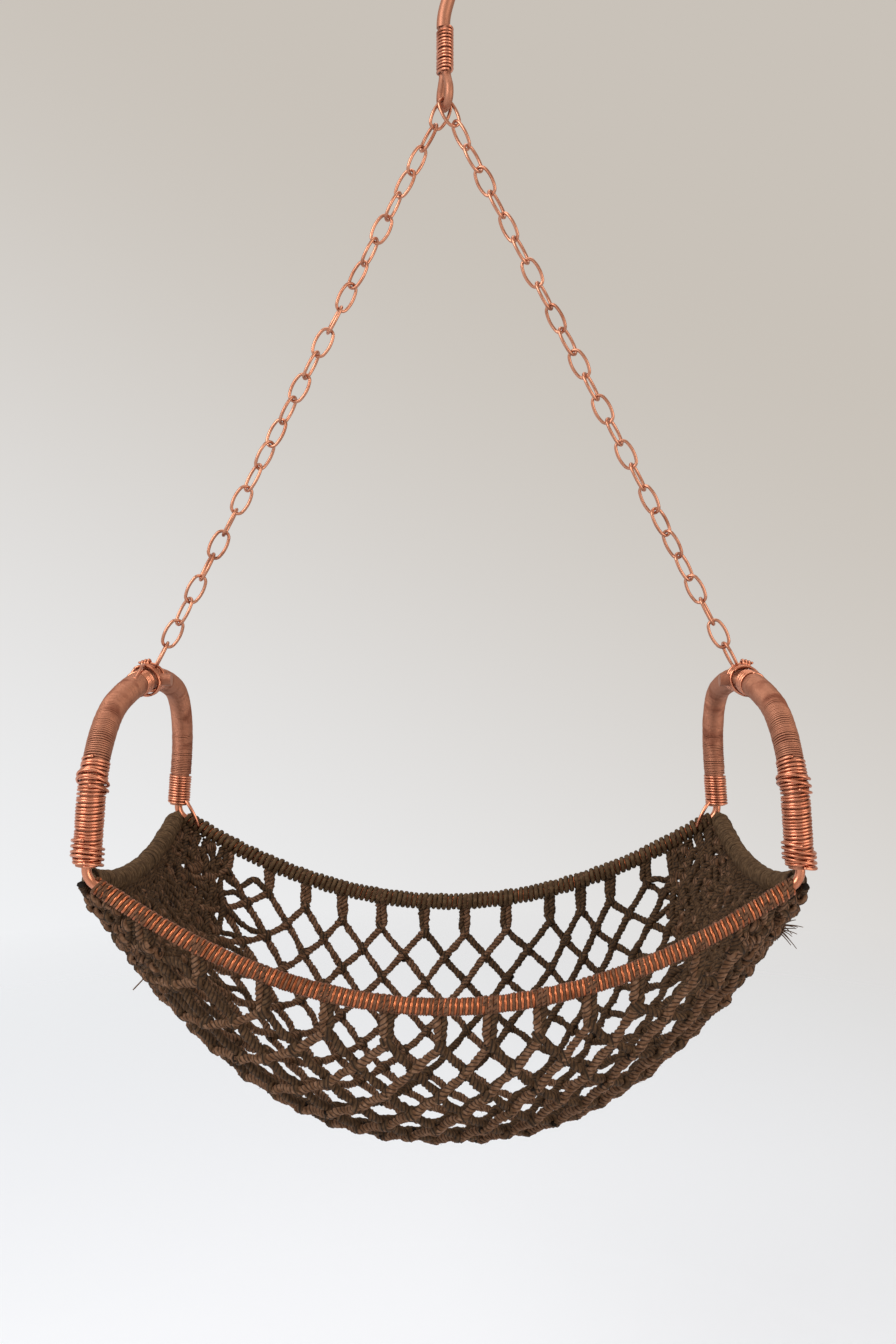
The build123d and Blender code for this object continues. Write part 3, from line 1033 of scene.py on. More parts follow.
    def slack_span(self, skein: Skein, side: Side) -> None:
        """A span of wire that bows up off the arch, rise * sin(half a turn * share)^bow high.

        Args:
            skein: The mesh that takes it.
            side: The handle.
        """
        share = np.linspace(0, 1, self.span_points)
        along = self.shape.handle_half - self.span_start + self.span_length * share
        core = self.shape.handle(side, End.FRONT, along)
        rise = self.touching + self.span_rise * np.sin(math.pi * share) ** self.span_bow
        line, away = core.wound(self.span_aside * (1 - share), rise)
        skein.lay(line, away, self.section)

    def ring_coil(self, skein: Skein, side: Side) -> None:
        """The wire's last turns, a small coil wound round the ring that the chain hangs on.

        Args:
            skein: The mesh that takes it.
            side: The handle.
        """
        low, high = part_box(f"{side.word}_chain_loop")
        middle = np.array([(low.x + high.x) / 2, 0.0, (low.z + high.z) / 2 - self.feet_height]) / MM
        ring = (high.x - low.x) / 2 / MM - self.wire / 2
        turn = np.linspace(0, self.coil_turns, self.coil_points)
        lean = side.value * (self.coil_lean - self.coil_step * turn)
        out = np.stack([np.sin(lean), 0 * lean, np.cos(lean)], -1)
        coil = Core(middle + ring * out, out, np.broadcast_to(Y_WAY, out.shape))
        stray = self.coil_stray * smooth_noise(turn, self.coil_crowd, 77)
        line, away = coil.wound(TURN * turn, self.wire + self.coil_gap + stray)
        skein.lay(line, away, self.section)

    def tail_wire(self, skein: Skein, side: Side) -> None:
        """The end of a back binding's wire, which runs down over the corner onto the rim.

        Its line is first * (1 - share)^2 + 2 * bend * share * (1 - share) + last * share^2.

        Args:
            skein: The mesh that takes it.
            side: The handle.
        """
        start = self.shape.handle(side, End.BACK, np.array([self.tail_foot]))
        reach = self.rod / 2 + self.tail_gap
        inward = start.out[0] * reach * self.tail_inward_share
        first = start.line[0] - inward - side.value * reach * self.tail_aside_share * X_WAY
        x = side.value * self.tail_end
        height = float(self.shape.rim_height(x, End.BACK)) + self.tail_lift
        last = np.array([x, self.shape.half_width - self.tail_inset, height])
        bow_x, bow_y, bow_z = self.tail_bow
        bend = (first + last) / 2 + np.array([-bow_x * side.value, -bow_y, bow_z])
        share = np.linspace(0, 1, self.tail_points)[:, None]
        line = first * (1 - share) ** 2 + 2 * bend * share * (1 - share) + last * share**2
        thick, wide = self.wire * self.tail_thick_share, self.wire * self.tail_wide_share
        facing = np.broadcast_to(-Y_WAY, line.shape)
        skein.lay(line, facing, Profile(thick, wide, self.wire_sides))


@dataclass
class Hanger:
    """The bound copper crook whose eye carries both chains."""

    finishes: Finishes
    feet_height: float
    wire: float = 1.6
    turns: int = 13
    rod: float = 5.4
    gap: float = 0.3
    long_room: float = 0.4
    short_room: float = 0.9
    stray: float = 0.35
    crowd: float = 0.9
    eye_turn: float = math.radians(22.0)
    steps: int = 30

    def build(self) -> None:
        """Winds the hanger's binding over its two rods and dresses the hanger.

        The winding is an oval helix: cos(turn) * long reach across both rods, and sin(turn) *
        short reach square to them.
        """
        low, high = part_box("hanger_binding")
        start = (low.z - self.feet_height) / MM + self.wire
        span = (high.z - low.z) / MM - 2 * self.wire
        turn = np.linspace(0, self.turns, self.turns * self.steps)
        noise = self.stray * smooth_noise(turn, self.crowd, 11)
        height = start + span * turn / self.turns + noise
        long_way = np.array([math.sin(self.eye_turn), -math.cos(self.eye_turn), 0.0])
        short_way = np.cross(long_way, UP)
        reach = (self.rod + self.wire) / 2
        long_reach = reach + (self.rod + self.gap) / 2 + self.long_room
        middle = np.stack([0 * turn, 0 * turn, height], -1)
        across = np.cos(TURN * turn)[:, None] * long_reach * long_way
        aside = np.sin(TURN * turn)[:, None] * (reach + self.short_room) * short_way
        line, facing = middle + across + aside, unit(across + aside)
        skein = Skein(self.feet_height)
        skein.lay(line, facing, Profile(self.wire / 2, self.wire / 2))
        piece = skein.mesh("hanger_winding")
        dressed(piece, self.finishes.bright, "bright_copper", "hanger", "hanger_binding")


@dataclass(frozen=True)
class RimPlan:
    """How one rim is wound: its pitch, and the section and lift of its wire and its cord."""

    pitch: float
    wire: Profile
    wire_lift: float
    cord: Profile
    cord_lift: float


@dataclass
class Rims:
    """The two wound rims and the two end rails that hold the net's edge."""

    shape: Shape
    finishes: Finishes
    feet_height: float
    rod: float = 5.6
    wall: float = 1.85
    reach: float = 194.5
    sag_stretch: float = 1.09
    front: RimPlan = RimPlan(3.4, Profile(1.2, 1.02, 8), 0.2, Profile(1.15, 0.9, 8), 0.3)
    back: RimPlan = RimPlan(4.1, Profile(0.55, 0.5, 6), -0.1, Profile(1.75, 1.7, 8), 0.7)
    wire_loose: float = 0.6
    cord_loose: float = 1.1
    cord_swell: float = 0.14
    cord_swell_run: float = 0.4
    cord_rough: float = 0.05
    rail_rod: float = 7.0
    rail_wall: float = 2.4
    rail_reach: float = 107.0
    rail_pitch: float = 3.7
    rail_thick_share: float = 1.35
    rail_wide_share: float = 0.92
    rail_sides: int = 8
    rail_loose: float = 1.6
    rail_swell: float = 0.12
    rail_swell_run: float = 0.6
    rail_rough: float = 0.03
    sway_share: float = 0.05
    sway_crowd: float = 2.3
    lift_share: float = 0.3
    lift_crowd: float = 0.8
    steps: int = 22

    def helix(
        self, core_of: Core, turns: float, phase: float, reach: float, loose: float, seed: int
    ) -> tuple[Array, Array]:
        """Points of a helix along a core, whose turns crowd and part by hand.

        Args:
            core_of: The core, with a point for every step of the helix.
            turns: The number of turns.
            phase: The share of a turn that it starts at.
            reach: The distance from the core's line.
            loose: How uneven it is, in millimetres.
            seed: The seed of the unevenness.

        Returns:
            The points and the direction from the core to each of them.
        """
        turn = np.linspace(0, turns, len(core_of.line))
        sway = self.sway_share * loose * smooth_noise(turn, self.sway_crowd, seed)
        lift = self.lift_share * loose * smooth_noise(turn, self.lift_crowd, seed + 1)
        return core_of.wound(TURN * (turn + phase + sway), reach + lift)

    def rim(self, end: End, plan: RimPlan, cord_finish: bpy.types.Material) -> None:
        """Winds one rim with a copper wire and a cord, turn beside turn.

        Args:
            end: The rim.
            plan: How it is wound.
            cord_finish: The material of its cord.
        """
        turns = 2 * self.reach * self.sag_stretch / plan.pitch
        core = self.shape.rim(end, self.reach, int(turns * self.steps))
        middle = self.rod / 2 + self.wall / 2
        wire = Skein(self.feet_height)
        wire_reach = middle + plan.wire_lift
        line, away = self.helix(core, turns, 0.0, wire_reach, self.wire_loose, 21)
        wire.lay(line, away, plan.wire)
        piece = wire.mesh(f"{end.word}_rim_wire")
        dressed(piece, self.finishes.rim_wire, "bright_copper", "basket")
        cord = Skein(self.feet_height)
        turn = np.linspace(0, turns, len(core.line))
        swell = 1 + self.cord_swell * smooth_noise(turn, self.cord_swell_run, 27)
        cord_reach = middle + plan.cord_lift
        line, away = self.helix(core, turns, 0.5, cord_reach, self.cord_loose, 25)
        cord.lay(line, away, plan.cord, swell, self.cord_rough)
        piece = cord.mesh(f"{end.word}_rim_cord")
        dressed(piece, cord_finish, "cord", "basket", f"{end.word}_rim_wrap")

    def rail(self, side: Side) -> None:
        """Winds one end rail with flat waxed cord.

        Args:
            side: The end that the rail is on.
        """
        turns = 2 * self.rail_reach / self.rail_pitch
        core = self.shape.rail(side, self.rail_reach, int(turns * self.steps))
        skein = Skein(self.feet_height)
        middle = self.rail_rod / 2 + self.rail_wall / 2
        line, away = self.helix(core, turns, 0.0, middle, self.rail_loose, 31 + side.value)
        thick = self.rail_thick_share * self.rail_wall / 2
        wide = self.rail_wide_share * self.rail_pitch / 2
        turn = np.linspace(0, turns, len(core.line))
        swell = 1 + self.rail_swell * smooth_noise(turn, self.rail_swell_run, 37)
        skein.lay(line, away, Profile(thick, wide, self.rail_sides), swell, self.rail_rough)
        piece = skein.mesh(f"{side.word}_rail_cord")
        dressed(piece, self.finishes.rail_cord, "cord", "basket", f"{side.word}_rail_wrap")

    def build(self) -> None:
        """Winds both rims and both rails."""
        self.rim(End.FRONT, self.front, self.finishes.rim_cord)
        self.rim(End.BACK, self.back, self.finishes.back_cord)
        for side in Side:
            self.rail(side)


@dataclass(frozen=True)
class Knot:
    """A knot's form: a coil of so many turns, wide along its axis, with two half sizes."""

    turns: float = 1.4
    points: int = 17
    width: float = 2.4
    proud: float = 2.3
    broad: float = 2.9
    sink: float = 0.3
    lean: float = 0.6
    stray: float = 0.1
    cord_share: float = 0.36
    sides: int = 6


@dataclass(frozen=True)
class RimTie:
    """The loops of a leg over its rim: turns of flattened cord a reach away from its line."""

    turns: float = 2.2
    points: int = 50
    pitch: float = 3.1
    reach: float = 4.6
    stop: float = 194.0
    lag: float = 0.7
    section: Profile = Profile(1.1, 1.5, 8, 3, 0.2, 6.0)


@dataclass(frozen=True)
class Bunch:
    """The sizes of a gathered end of the net.

    It lies between edge and far along X. Its round cords run from rim to rim and sway by a
    noise and a wave. Its outward cords leave the net's knots and ramp into a sway of their own.
    """

    edge: float = 158.0
    far: float = 203.0
    rim_share: float = 0.97
    round_cords: int = 11
    round_inset: float = 8.0
    round_points: int = 260
    round_sway: float = 3.4
    round_run: float = 0.11
    round_wave: float = 1.8
    round_waves: float = 9.0
    outward_inset: float = 10.0
    outward_points: int = 70
    outward_ramp: float = 12.0
    outward_sway: float = 0.03
    outward_run: float = 11.0
    outward_wave: float = 0.025
    outward_waves: float = 0.16
    whole_column: float = 2.0
    half_column: float = 1.5
    knots: int = 240
    knot_inset: float = 2.0
    knot_crowd: float = 0.8
    knot_rim_share: float = 0.96
    knot_lift: tuple[float, float] = (-1.0, 1.6)
    knot_size: tuple[float, float] = (0.7, 1.0)
    rise: float = 1.9
    rise_run: float = 9.0
    sink: float = 1.4
    slim: float = 0.88
    swell: float = 0.12
    swell_run: float = 3.0
    climb_points: int = 14
    climb_pull: float = 0.06
    climb_reach: float = 106.0
    climb_out: float = 3.5
    climb_drop: float = 2.5


@dataclass
class Net:
    """The knotted cord net, its legs on the rims and its bunched ends.

    Strands start in pairs at each leg on the front rim. From a leg one strand goes left and
    one right, half a column for every row of knots, and turns back at the ends of the net.
    """

    shape: Shape
    finishes: Finishes
    feet_height: float
    cord: float = 6.0
    cord_sides: int = 9
    cord_groove: float = 0.27
    lay: float = 8.8
    rough: float = 0.075
    swell: float = 0.15
    swell_run: float = 2.6
    rows: int = 18
    leg_share: float = 0.125
    rim_share: float = 0.01
    leg_rows: float = 1.45
    leg_apart: float = 1.75
    leg_join: float = 3.0
    leg_twist: float = 0.6
    leg_turns: float = 0.6
    crossing_lift: float = 1.7
    sink: float = 0.4
    stray: float = 1.0
    stray_run: float = 0.8
    strand_points: int = 620
    ring_step: float = 1.2
    fibre_length: float = 2.2
    fibre_base: float = 0.16
    fibre_root_share: float = 0.34
    fibre_lean: float = 0.8
    fibre_least: float = 0.4
    fibre_count: int = 2600
    cord_run: float = 11000.0
    knot_form: Knot = Knot()
    tie: RimTie = RimTie()
    bunch: Bunch = Bunch()
    # Where each column's legs stand along the front rim and along the back one
    front_legs: tuple[float, ...] = (
        -190, -169, -137, -101, -65, -31, -1, 27, 55, 83, 110, 144, 168, 182, 193,
    )
    back_legs: tuple[float, ...] = (
        -188, -162, -132, -105, -78, -49, -17, 13, 44, 76, 99, 121, 147, 170, 190,
    )

    @property
    def profile(self) -> Profile:
        """The section of the net's three-ply cord."""
        half = self.cord / 2
        return Profile(half, half, self.cord_sides, 3, self.cord_groove, self.lay)

    @property
    def last(self) -> int:
        """The number of the last column of knots, where the first is 0."""
        return len(self.front_legs) - 1

    def row_share(self, row: float | Array) -> float | Array:
        """The share of the way round, from -1 to 1, at a row of knots."""
        return (2 * row / self.rows - 1) * (1 - self.leg_share)

    def column(self, place: Array, v: Array) -> Array:
        """Where a column of knots is along X: its leg's place, moving from front to back.

        Args:
            place: Column numbers, with halves between two legs.
            v: Shares of the way round the section.

        Returns:
            Places along X.
        """
        numbers = np.arange(len(self.front_legs))
        front = np.interp(place, numbers, self.front_legs)
        back = np.interp(place, numbers, self.back_legs)
        share = np.clip((v + 1) / 2, 0, 1)
        share = share * share * (3 - 2 * share)
        return front + (back - front) * share

    def strand(self, start: int, way: int) -> tuple[Array, Array]:
        """One cord from the front rim, under the basket and up to the back rim.

        Its column is a triangle wave of its row, so that it turns back at the net's ends. On a
        leg it lies beside its partner, and at each crossing it passes over or under.

        Args:
            start: The column of its front leg.
            way: -1 for a strand that first goes left, and 1 for right.

        Returns:
            The cord's points and the net's outward direction at each.
        """
        last = self.last
        row = np.linspace(-self.leg_rows, self.rows + self.leg_rows, self.strand_points)
        inner = np.clip(row, 0, self.rows)
        column = start + way * inner / 2
        folded = last - np.abs(np.mod(column, 2 * last) - last)
        heading = way * np.where(np.mod(column, 2 * last) > last, -1, 1)
        leg = np.clip(np.abs(row - self.rows / 2) - self.rows / 2, 0, None)
        climb = leg / self.leg_rows * (self.leg_share - self.rim_share)
        v = self.row_share(inner) + np.sign(row - self.rows / 2) * climb
        seed = 100 + 2 * start + (way + 1) // 2
        stray = self.stray * smooth_noise(row, self.stray_run, seed)
        x = self.column(folded, v) + stray * np.clip(1 - leg, 0, 1)
        facing = self.shape.net_facing(x, v)
        joined = np.clip(leg * self.leg_join, 0, 1)
        swing = np.cos(TURN * self.leg_turns * leg) * np.clip(leg * 2, 0, 1)
        over = (1 + np.cos(TURN * row)) / 2 * (1 - joined)
        turned = self.leg_twist * swing * heading
        lift = turned - heading * self.crossing_lift * over - self.sink
        point = self.shape.net(x, v) + lift[:, None] * facing
        point[:, 0] += heading * joined * self.leg_apart
        line = self.even(point)
        return line, spread(facing, len(line))

    def even(self, points: Array) -> Array:
        """The same line with its points a ring's step apart.

        Args:
            points: The line's points.

        Returns:
            Its new points.
        """
        length = walked(points)
        places = np.linspace(0, length[-1], int(length[-1] / self.ring_step) + 2)
        return np.stack([np.interp(places, length, points[:, k]) for k in range(3)], -1)

    def strands(self) -> None:
        """Lays the strands, those that start leftwards in one piece in the painted lit copy of the
        cord and the others in another in the painted shaded copy.
        """
        last = self.last
        # Painted light and shade: the leftward strands, which catch the light, take the lit copy of
        # the cord, and the rightward ones the shaded copy
        for way, name, finish in (
            (-1, "net_left_strands", self.finishes.pale_cord),
            (1, "net_right_strands", self.finishes.dark_cord),
        ):
            skein = Skein(self.feet_height)
            for start in range(0, last) if way > 0 else range(1, last + 1):
                line, facing = self.strand(start, way)
                noise = smooth_noise(walked(line), self.swell_run, 7 * start + way)
                skein.lay(line, facing, self.profile, 1 + self.swell * noise, self.rough)
                self.fray(skein, line, facing, start)
            piece = skein.mesh(name)
            dressed(piece, finish, "cord", "basket", *(["net_body"] if way < 0 else []))

    def fray(self, skein: Skein, line: Array, facing: Array, seed: int) -> None:
        """Loose fibre ends that stand off a cord all along it.

        Args:
            skein: The mesh that takes them.
            line: The cord's points.
            facing: The direction out of the net at each.
            seed: The seed of their places.
        """
        draw = np.random.default_rng(seed)
        many = int(self.fibre_count * len(line) * self.ring_step / self.cord_run)
        picks = draw.integers(2, len(line) - 2, many)
        way = unit(line[picks + 1] - line[picks - 1])
        side = np.cross(way, facing[picks])
        angle = draw.uniform(0, TURN, many)[:, None]
        off = np.cos(angle) * facing[picks] + np.sin(angle) * side
        lean = draw.normal(0, self.fibre_lean, (many, 1))
        length = draw.uniform(self.fibre_least, 1.0, (many, 1)) * self.fibre_length
        roots = line[picks] + off * self.cord * self.fibre_root_share
        skein.spike(roots, (off + lean * way) * length, self.fibre_base)

    def knots(self) -> None:
        """Ties a cord round every crossing of the net, as a turn and a half of a flat coil."""
        skein = Skein(self.feet_height)
        for row in range(self.rows + 1):
            v = np.full(self.last + 1, self.row_share(row))
            places = np.arange(self.last + 1) + 0.5 * (row % 2)
            x = self.column(places, v)
            centres, facing = self.shape.net(x, v), self.shape.net_facing(x, v)
            for k in range(self.last + 1 - row % 2):
                self.knot(skein, centres[k], facing[k], 1000 + 31 * row + k)
        piece = skein.mesh("net_knots")
        dressed(piece, self.finishes.dark_cord, "cord", "basket")

    def knot(
        self, skein: Skein, centre: Array, facing: Array, seed: int, size: float = 1.0
    ) -> None:
        """One knot: a coil about a tilted axis in the net's surface, about its crossing.

        Args:
            skein: The mesh that takes it.
            centre: The crossing.
            facing: The direction out of the net there.
            seed: The seed of its tilt.
            size: Its size as a share of a common knot.
        """
        form = self.knot_form
        draw = np.random.default_rng(seed)
        along = unit(np.cross(facing, UP + form.stray * draw.normal(size=3)))
        lean = draw.uniform(-form.lean, form.lean)
        axis = unit(along * math.cos(lean) + np.cross(facing, along) * math.sin(lean))
        other = np.cross(axis, facing)
        turn = np.linspace(0, form.turns, form.points)
        angle = TURN * (turn + draw.uniform())[:, None]
        shift = (turn - form.turns / 2) * form.width * size
        line = centre - form.sink * facing + axis * shift[:, None]
        away = np.cos(angle) * facing * form.proud + np.sin(angle) * other * form.broad
        half = form.cord_share * self.cord * size
        section = Profile(half, half, form.sides)
        skein.lay(line + away * size, unit(away), section, 1.0, self.rough)

    def rim_ties(self) -> None:
        """Loops each leg over its rim, two turns of cord that stand proud of the winding."""
        skein, tie = Skein(self.feet_height), self.tie
        for end, legs in ((End.FRONT, self.front_legs), (End.BACK, self.back_legs)):
            for number, place in enumerate(legs):
                turn = np.linspace(0, tie.turns, tie.points)
                x = np.clip(place + tie.pitch * (turn - tie.turns / 2), -tie.stop, tie.stop)
                y = np.full(len(turn), end.value * self.shape.half_width)
                centre = np.stack([x, y, self.shape.rim_height(x, end)], -1)
                angle = TURN * turn + tie.lag * number
                away = np.cos(angle)[:, None] * UP + np.sin(angle)[:, None] * Y_WAY
                skein.lay(centre + tie.reach * away, away, tie.section)
        piece = skein.mesh("net_rim_ties")
        dressed(piece, self.finishes.rim_cord, "cord", "basket")

    def gather(self, side: Side) -> None:
        """The bunched end of the net, a mat of wandering cords with knots crowded on it.

        Cords run round the end of the basket, and others run out from the net's last full
        column of knots and up onto the end rail.

        Args:
            side: The end of the basket.
        """
        bunch, draw = self.bunch, np.random.default_rng(5 + side.value)
        cords = Skein(self.feet_height)
        self.round_cords(cords, side)
        self.outward_cords(cords, side)
        piece = cords.mesh(f"{side.word}_gather_cords")
        node = f"{side.word}_net_gather"
        dressed(piece, self.finishes.dark_cord, "cord", "basket", node)
        knots, many = Skein(self.feet_height), bunch.knots
        first, room = bunch.edge + bunch.knot_inset, bunch.far - bunch.edge - bunch.knot_inset - 1
        x = side.value * (first + room * draw.uniform(size=many) ** bunch.knot_crowd)
        v = draw.uniform(-bunch.knot_rim_share, bunch.knot_rim_share, many)
        centres, facing = self.shape.net(x, v), self.shape.net_facing(x, v)
        for k in range(many):
            lift = draw.uniform(*bunch.knot_lift)
            size = draw.uniform(*bunch.knot_size)
            self.knot(knots, centres[k] + lift * facing[k], facing[k], 2000 + k, size)
        piece = knots.mesh(f"{side.word}_gather_knots")
        dressed(piece, self.finishes.pale_cord, "cord", "basket")

    def round_cords(self, skein: Skein, side: Side) -> None:
        """Lays the bunched end's cords that run round it from rim to rim.

        Args:
            skein: The mesh that takes them.
            side: The end of the basket.
        """
        bunch = self.bunch
        starts = np.linspace(bunch.edge + bunch.round_inset, bunch.far - 1, bunch.round_cords)
        v = np.linspace(-bunch.rim_share, bunch.rim_share, bunch.round_points)
        for number, start in enumerate(starts):
            sway = bunch.round_sway * smooth_noise(v, bunch.round_run, 300 + number)
            sway = sway + bunch.round_wave * np.sin(bunch.round_waves * v + number)
            x = side.value * np.clip(start + sway, bunch.edge, bunch.far)
            self.wander(skein, x, v, 320 + number)

    def outward_cords(self, skein: Skein, side: Side) -> None:
        """Lays the cords that leave the net's last knots and climb onto the end rail.

        Every second cord starts at a knot, and those between start inside the bunched end.

        Args:
            skein: The mesh that takes them.
            side: The end of the basket.
        """
        bunch = self.bunch
        for number in range(2 * self.rows + 1):
            v_start = self.row_share(number / 2)
            place = bunch.half_column if number % 4 else bunch.whole_column
            place = place if side is Side.LEFT else self.last - place
            knot_x = abs(float(self.column(np.array(place), np.array(v_start))))
            near = bunch.edge + bunch.outward_inset if number % 2 else knot_x
            x = np.linspace(near, bunch.far, bunch.outward_points)
            ramp = np.clip((x - near) / bunch.outward_ramp, 0, 1)
            sway = bunch.outward_sway * smooth_noise(x, bunch.outward_run, 340 + number)
            wave = bunch.outward_wave * np.sin(bunch.outward_waves * x + number)
            v = np.clip(v_start + ramp * (sway + wave), -bunch.rim_share, bunch.rim_share)
            self.wander(skein, side.value * x, v, 370 + number, side)

    def wander(
        self, skein: Skein, x: Array, v: Array, seed: int, rail: Side | None = None
    ) -> None:
        """Lays a cord over the net's surface that rises and falls as it goes.

        Args:
            skein: The mesh that takes it.
            x: The cord's places along X.
            v: Its shares of the way round the section.
            seed: The seed of its rise and fall.
            rail: The end rail that the cord's last stretch climbs onto, if it does.
        """
        bunch, facing = self.bunch, self.shape.net_facing(x, v)
        lift = bunch.rise * smooth_noise(np.arange(len(x)), bunch.rise_run, seed) - bunch.sink
        points = self.shape.net(x, v) + lift[:, None] * facing
        if rail:
            climb = np.linspace(0, 1, bunch.climb_points)[1:, None]
            pulled = points[-1, 1] * (1 - bunch.climb_pull * climb[:, 0])
            y = np.clip(pulled, -bunch.climb_reach, bunch.climb_reach)
            sag = -self.shape.rail_sag * (1 - (y / self.shape.half_width) ** 2)
            out = rail.value * (self.shape.half_length + bunch.climb_out + 0 * y)
            top = np.stack([out, y, sag - bunch.climb_drop], -1)
            points = np.concatenate([points, points[-1] * (1 - climb) + top * climb])
            facing = np.concatenate([facing, np.broadcast_to(facing[-1], top.shape)])
        line = self.even(points)
        swell = bunch.slim + bunch.swell * smooth_noise(walked(line), bunch.swell_run, seed)
        skein.lay(line, spread(facing, len(line)), self.profile, swell, self.rough)

    def build(self) -> None:
        """Lays the strands, knots, ties and bunched ends."""
        self.strands()
        self.knots()
        self.rim_ties()
        for side in Side:
            self.gather(side)


@dataclass
class LooseEnds:
    """The thread that hangs off the left front corner and the frayed tuft at the right one."""

    shape: Shape
    finishes: Finishes
    feet_height: float
    thread_root: tuple[float, float] = (-172.0, -0.72)
    thread_plans: tuple[tuple[float, float, int], ...] = ((11.0, 19.0, 3), (6.0, 13.0, 4))
    thread_bends: float = 2.6
    thread_out: float = 4.0
    thread_droop: float = 1.3
    thread: Profile = Profile(0.45, 0.45, 6)
    tuft_root: tuple[float, float] = (196.0, -0.62)
    tuft_hairs: int = 14
    tuft_way: tuple[float, float, float] = (1.0, -0.5, 0.1)
    tuft_spread: float = 0.55
    tuft_width: float = 1.6
    tuft_length: float = 9.0
    tuft_droop: float = 4.0
    tuft_taper: float = 0.6
    hair: Profile = Profile(0.5, 0.5, 6)
    points: int = 26

    def root(self, place: tuple[float, float]) -> Array:
        """The point of the net at a place along X and a share of the way round."""
        x, v = place
        return self.shape.net(np.array([x]), np.array([v]))[0]

    def build(self) -> None:
        """Lays the thread's two ends and the tuft's hairs."""
        skein = Skein(self.feet_height)
        share = np.linspace(0, 1, self.points)
        for reach, drop, seed in self.thread_plans:
            aside = -reach * np.sin(self.thread_bends * share + seed)
            down = -drop * share**self.thread_droop
            bend = np.stack([aside, -self.thread_out * share, down], -1)
            line = self.root(self.thread_root) + bend - bend[0]
            skein.lay(line, np.broadcast_to(-Y_WAY, line.shape), self.thread)
        root = self.root(self.tuft_root)
        draw = np.random.default_rng(91)
        for _ in range(self.tuft_hairs):
            way = np.array(self.tuft_way) + self.tuft_spread * draw.normal(size=3)
            droop = -self.tuft_droop * UP * share[:, None] ** 2
            start = root + self.tuft_width * draw.normal(size=3)
            line = start + self.tuft_length * share[:, None] * way + droop
            facing = np.broadcast_to(UP, line.shape)
            skein.lay(line, facing, self.hair, 1 - self.tuft_taper * share)
        dressed(skein.mesh("net_loose_ends"), self.finishes.pale_cord, "cord", "basket")


@dataclass
class KeptNodes:
    """The frame's own nodes whose shape is right, which only need their finish."""

    finishes: Finishes
    nodes: dict[str, bpy.types.Object]

    def finish_of(self, name: str) -> bpy.types.Material:
        """The finish that a node takes.

        Args:
            name: The node's name.

        Returns:
            The material.
        """
        if name.startswith("chain_links"):
            return self.finishes.chain
        if name.endswith("rail_rod"):
            return self.finishes.cane
        if name.endswith("rim_rod") or name.endswith("chain_loop"):
            return self.finishes.bright
        return self.finishes.matte

    def build(self) -> None:
        """Gives each node that still shows its finish."""
        for name, node in self.nodes.items():
            if node.hide_render:
                continue
            finish = self.finish_of(name)
            if not node.material_slots:
                node.data.materials.append(finish)
            for place in node.material_slots:
                place.material = finish


# Stage, light and camera


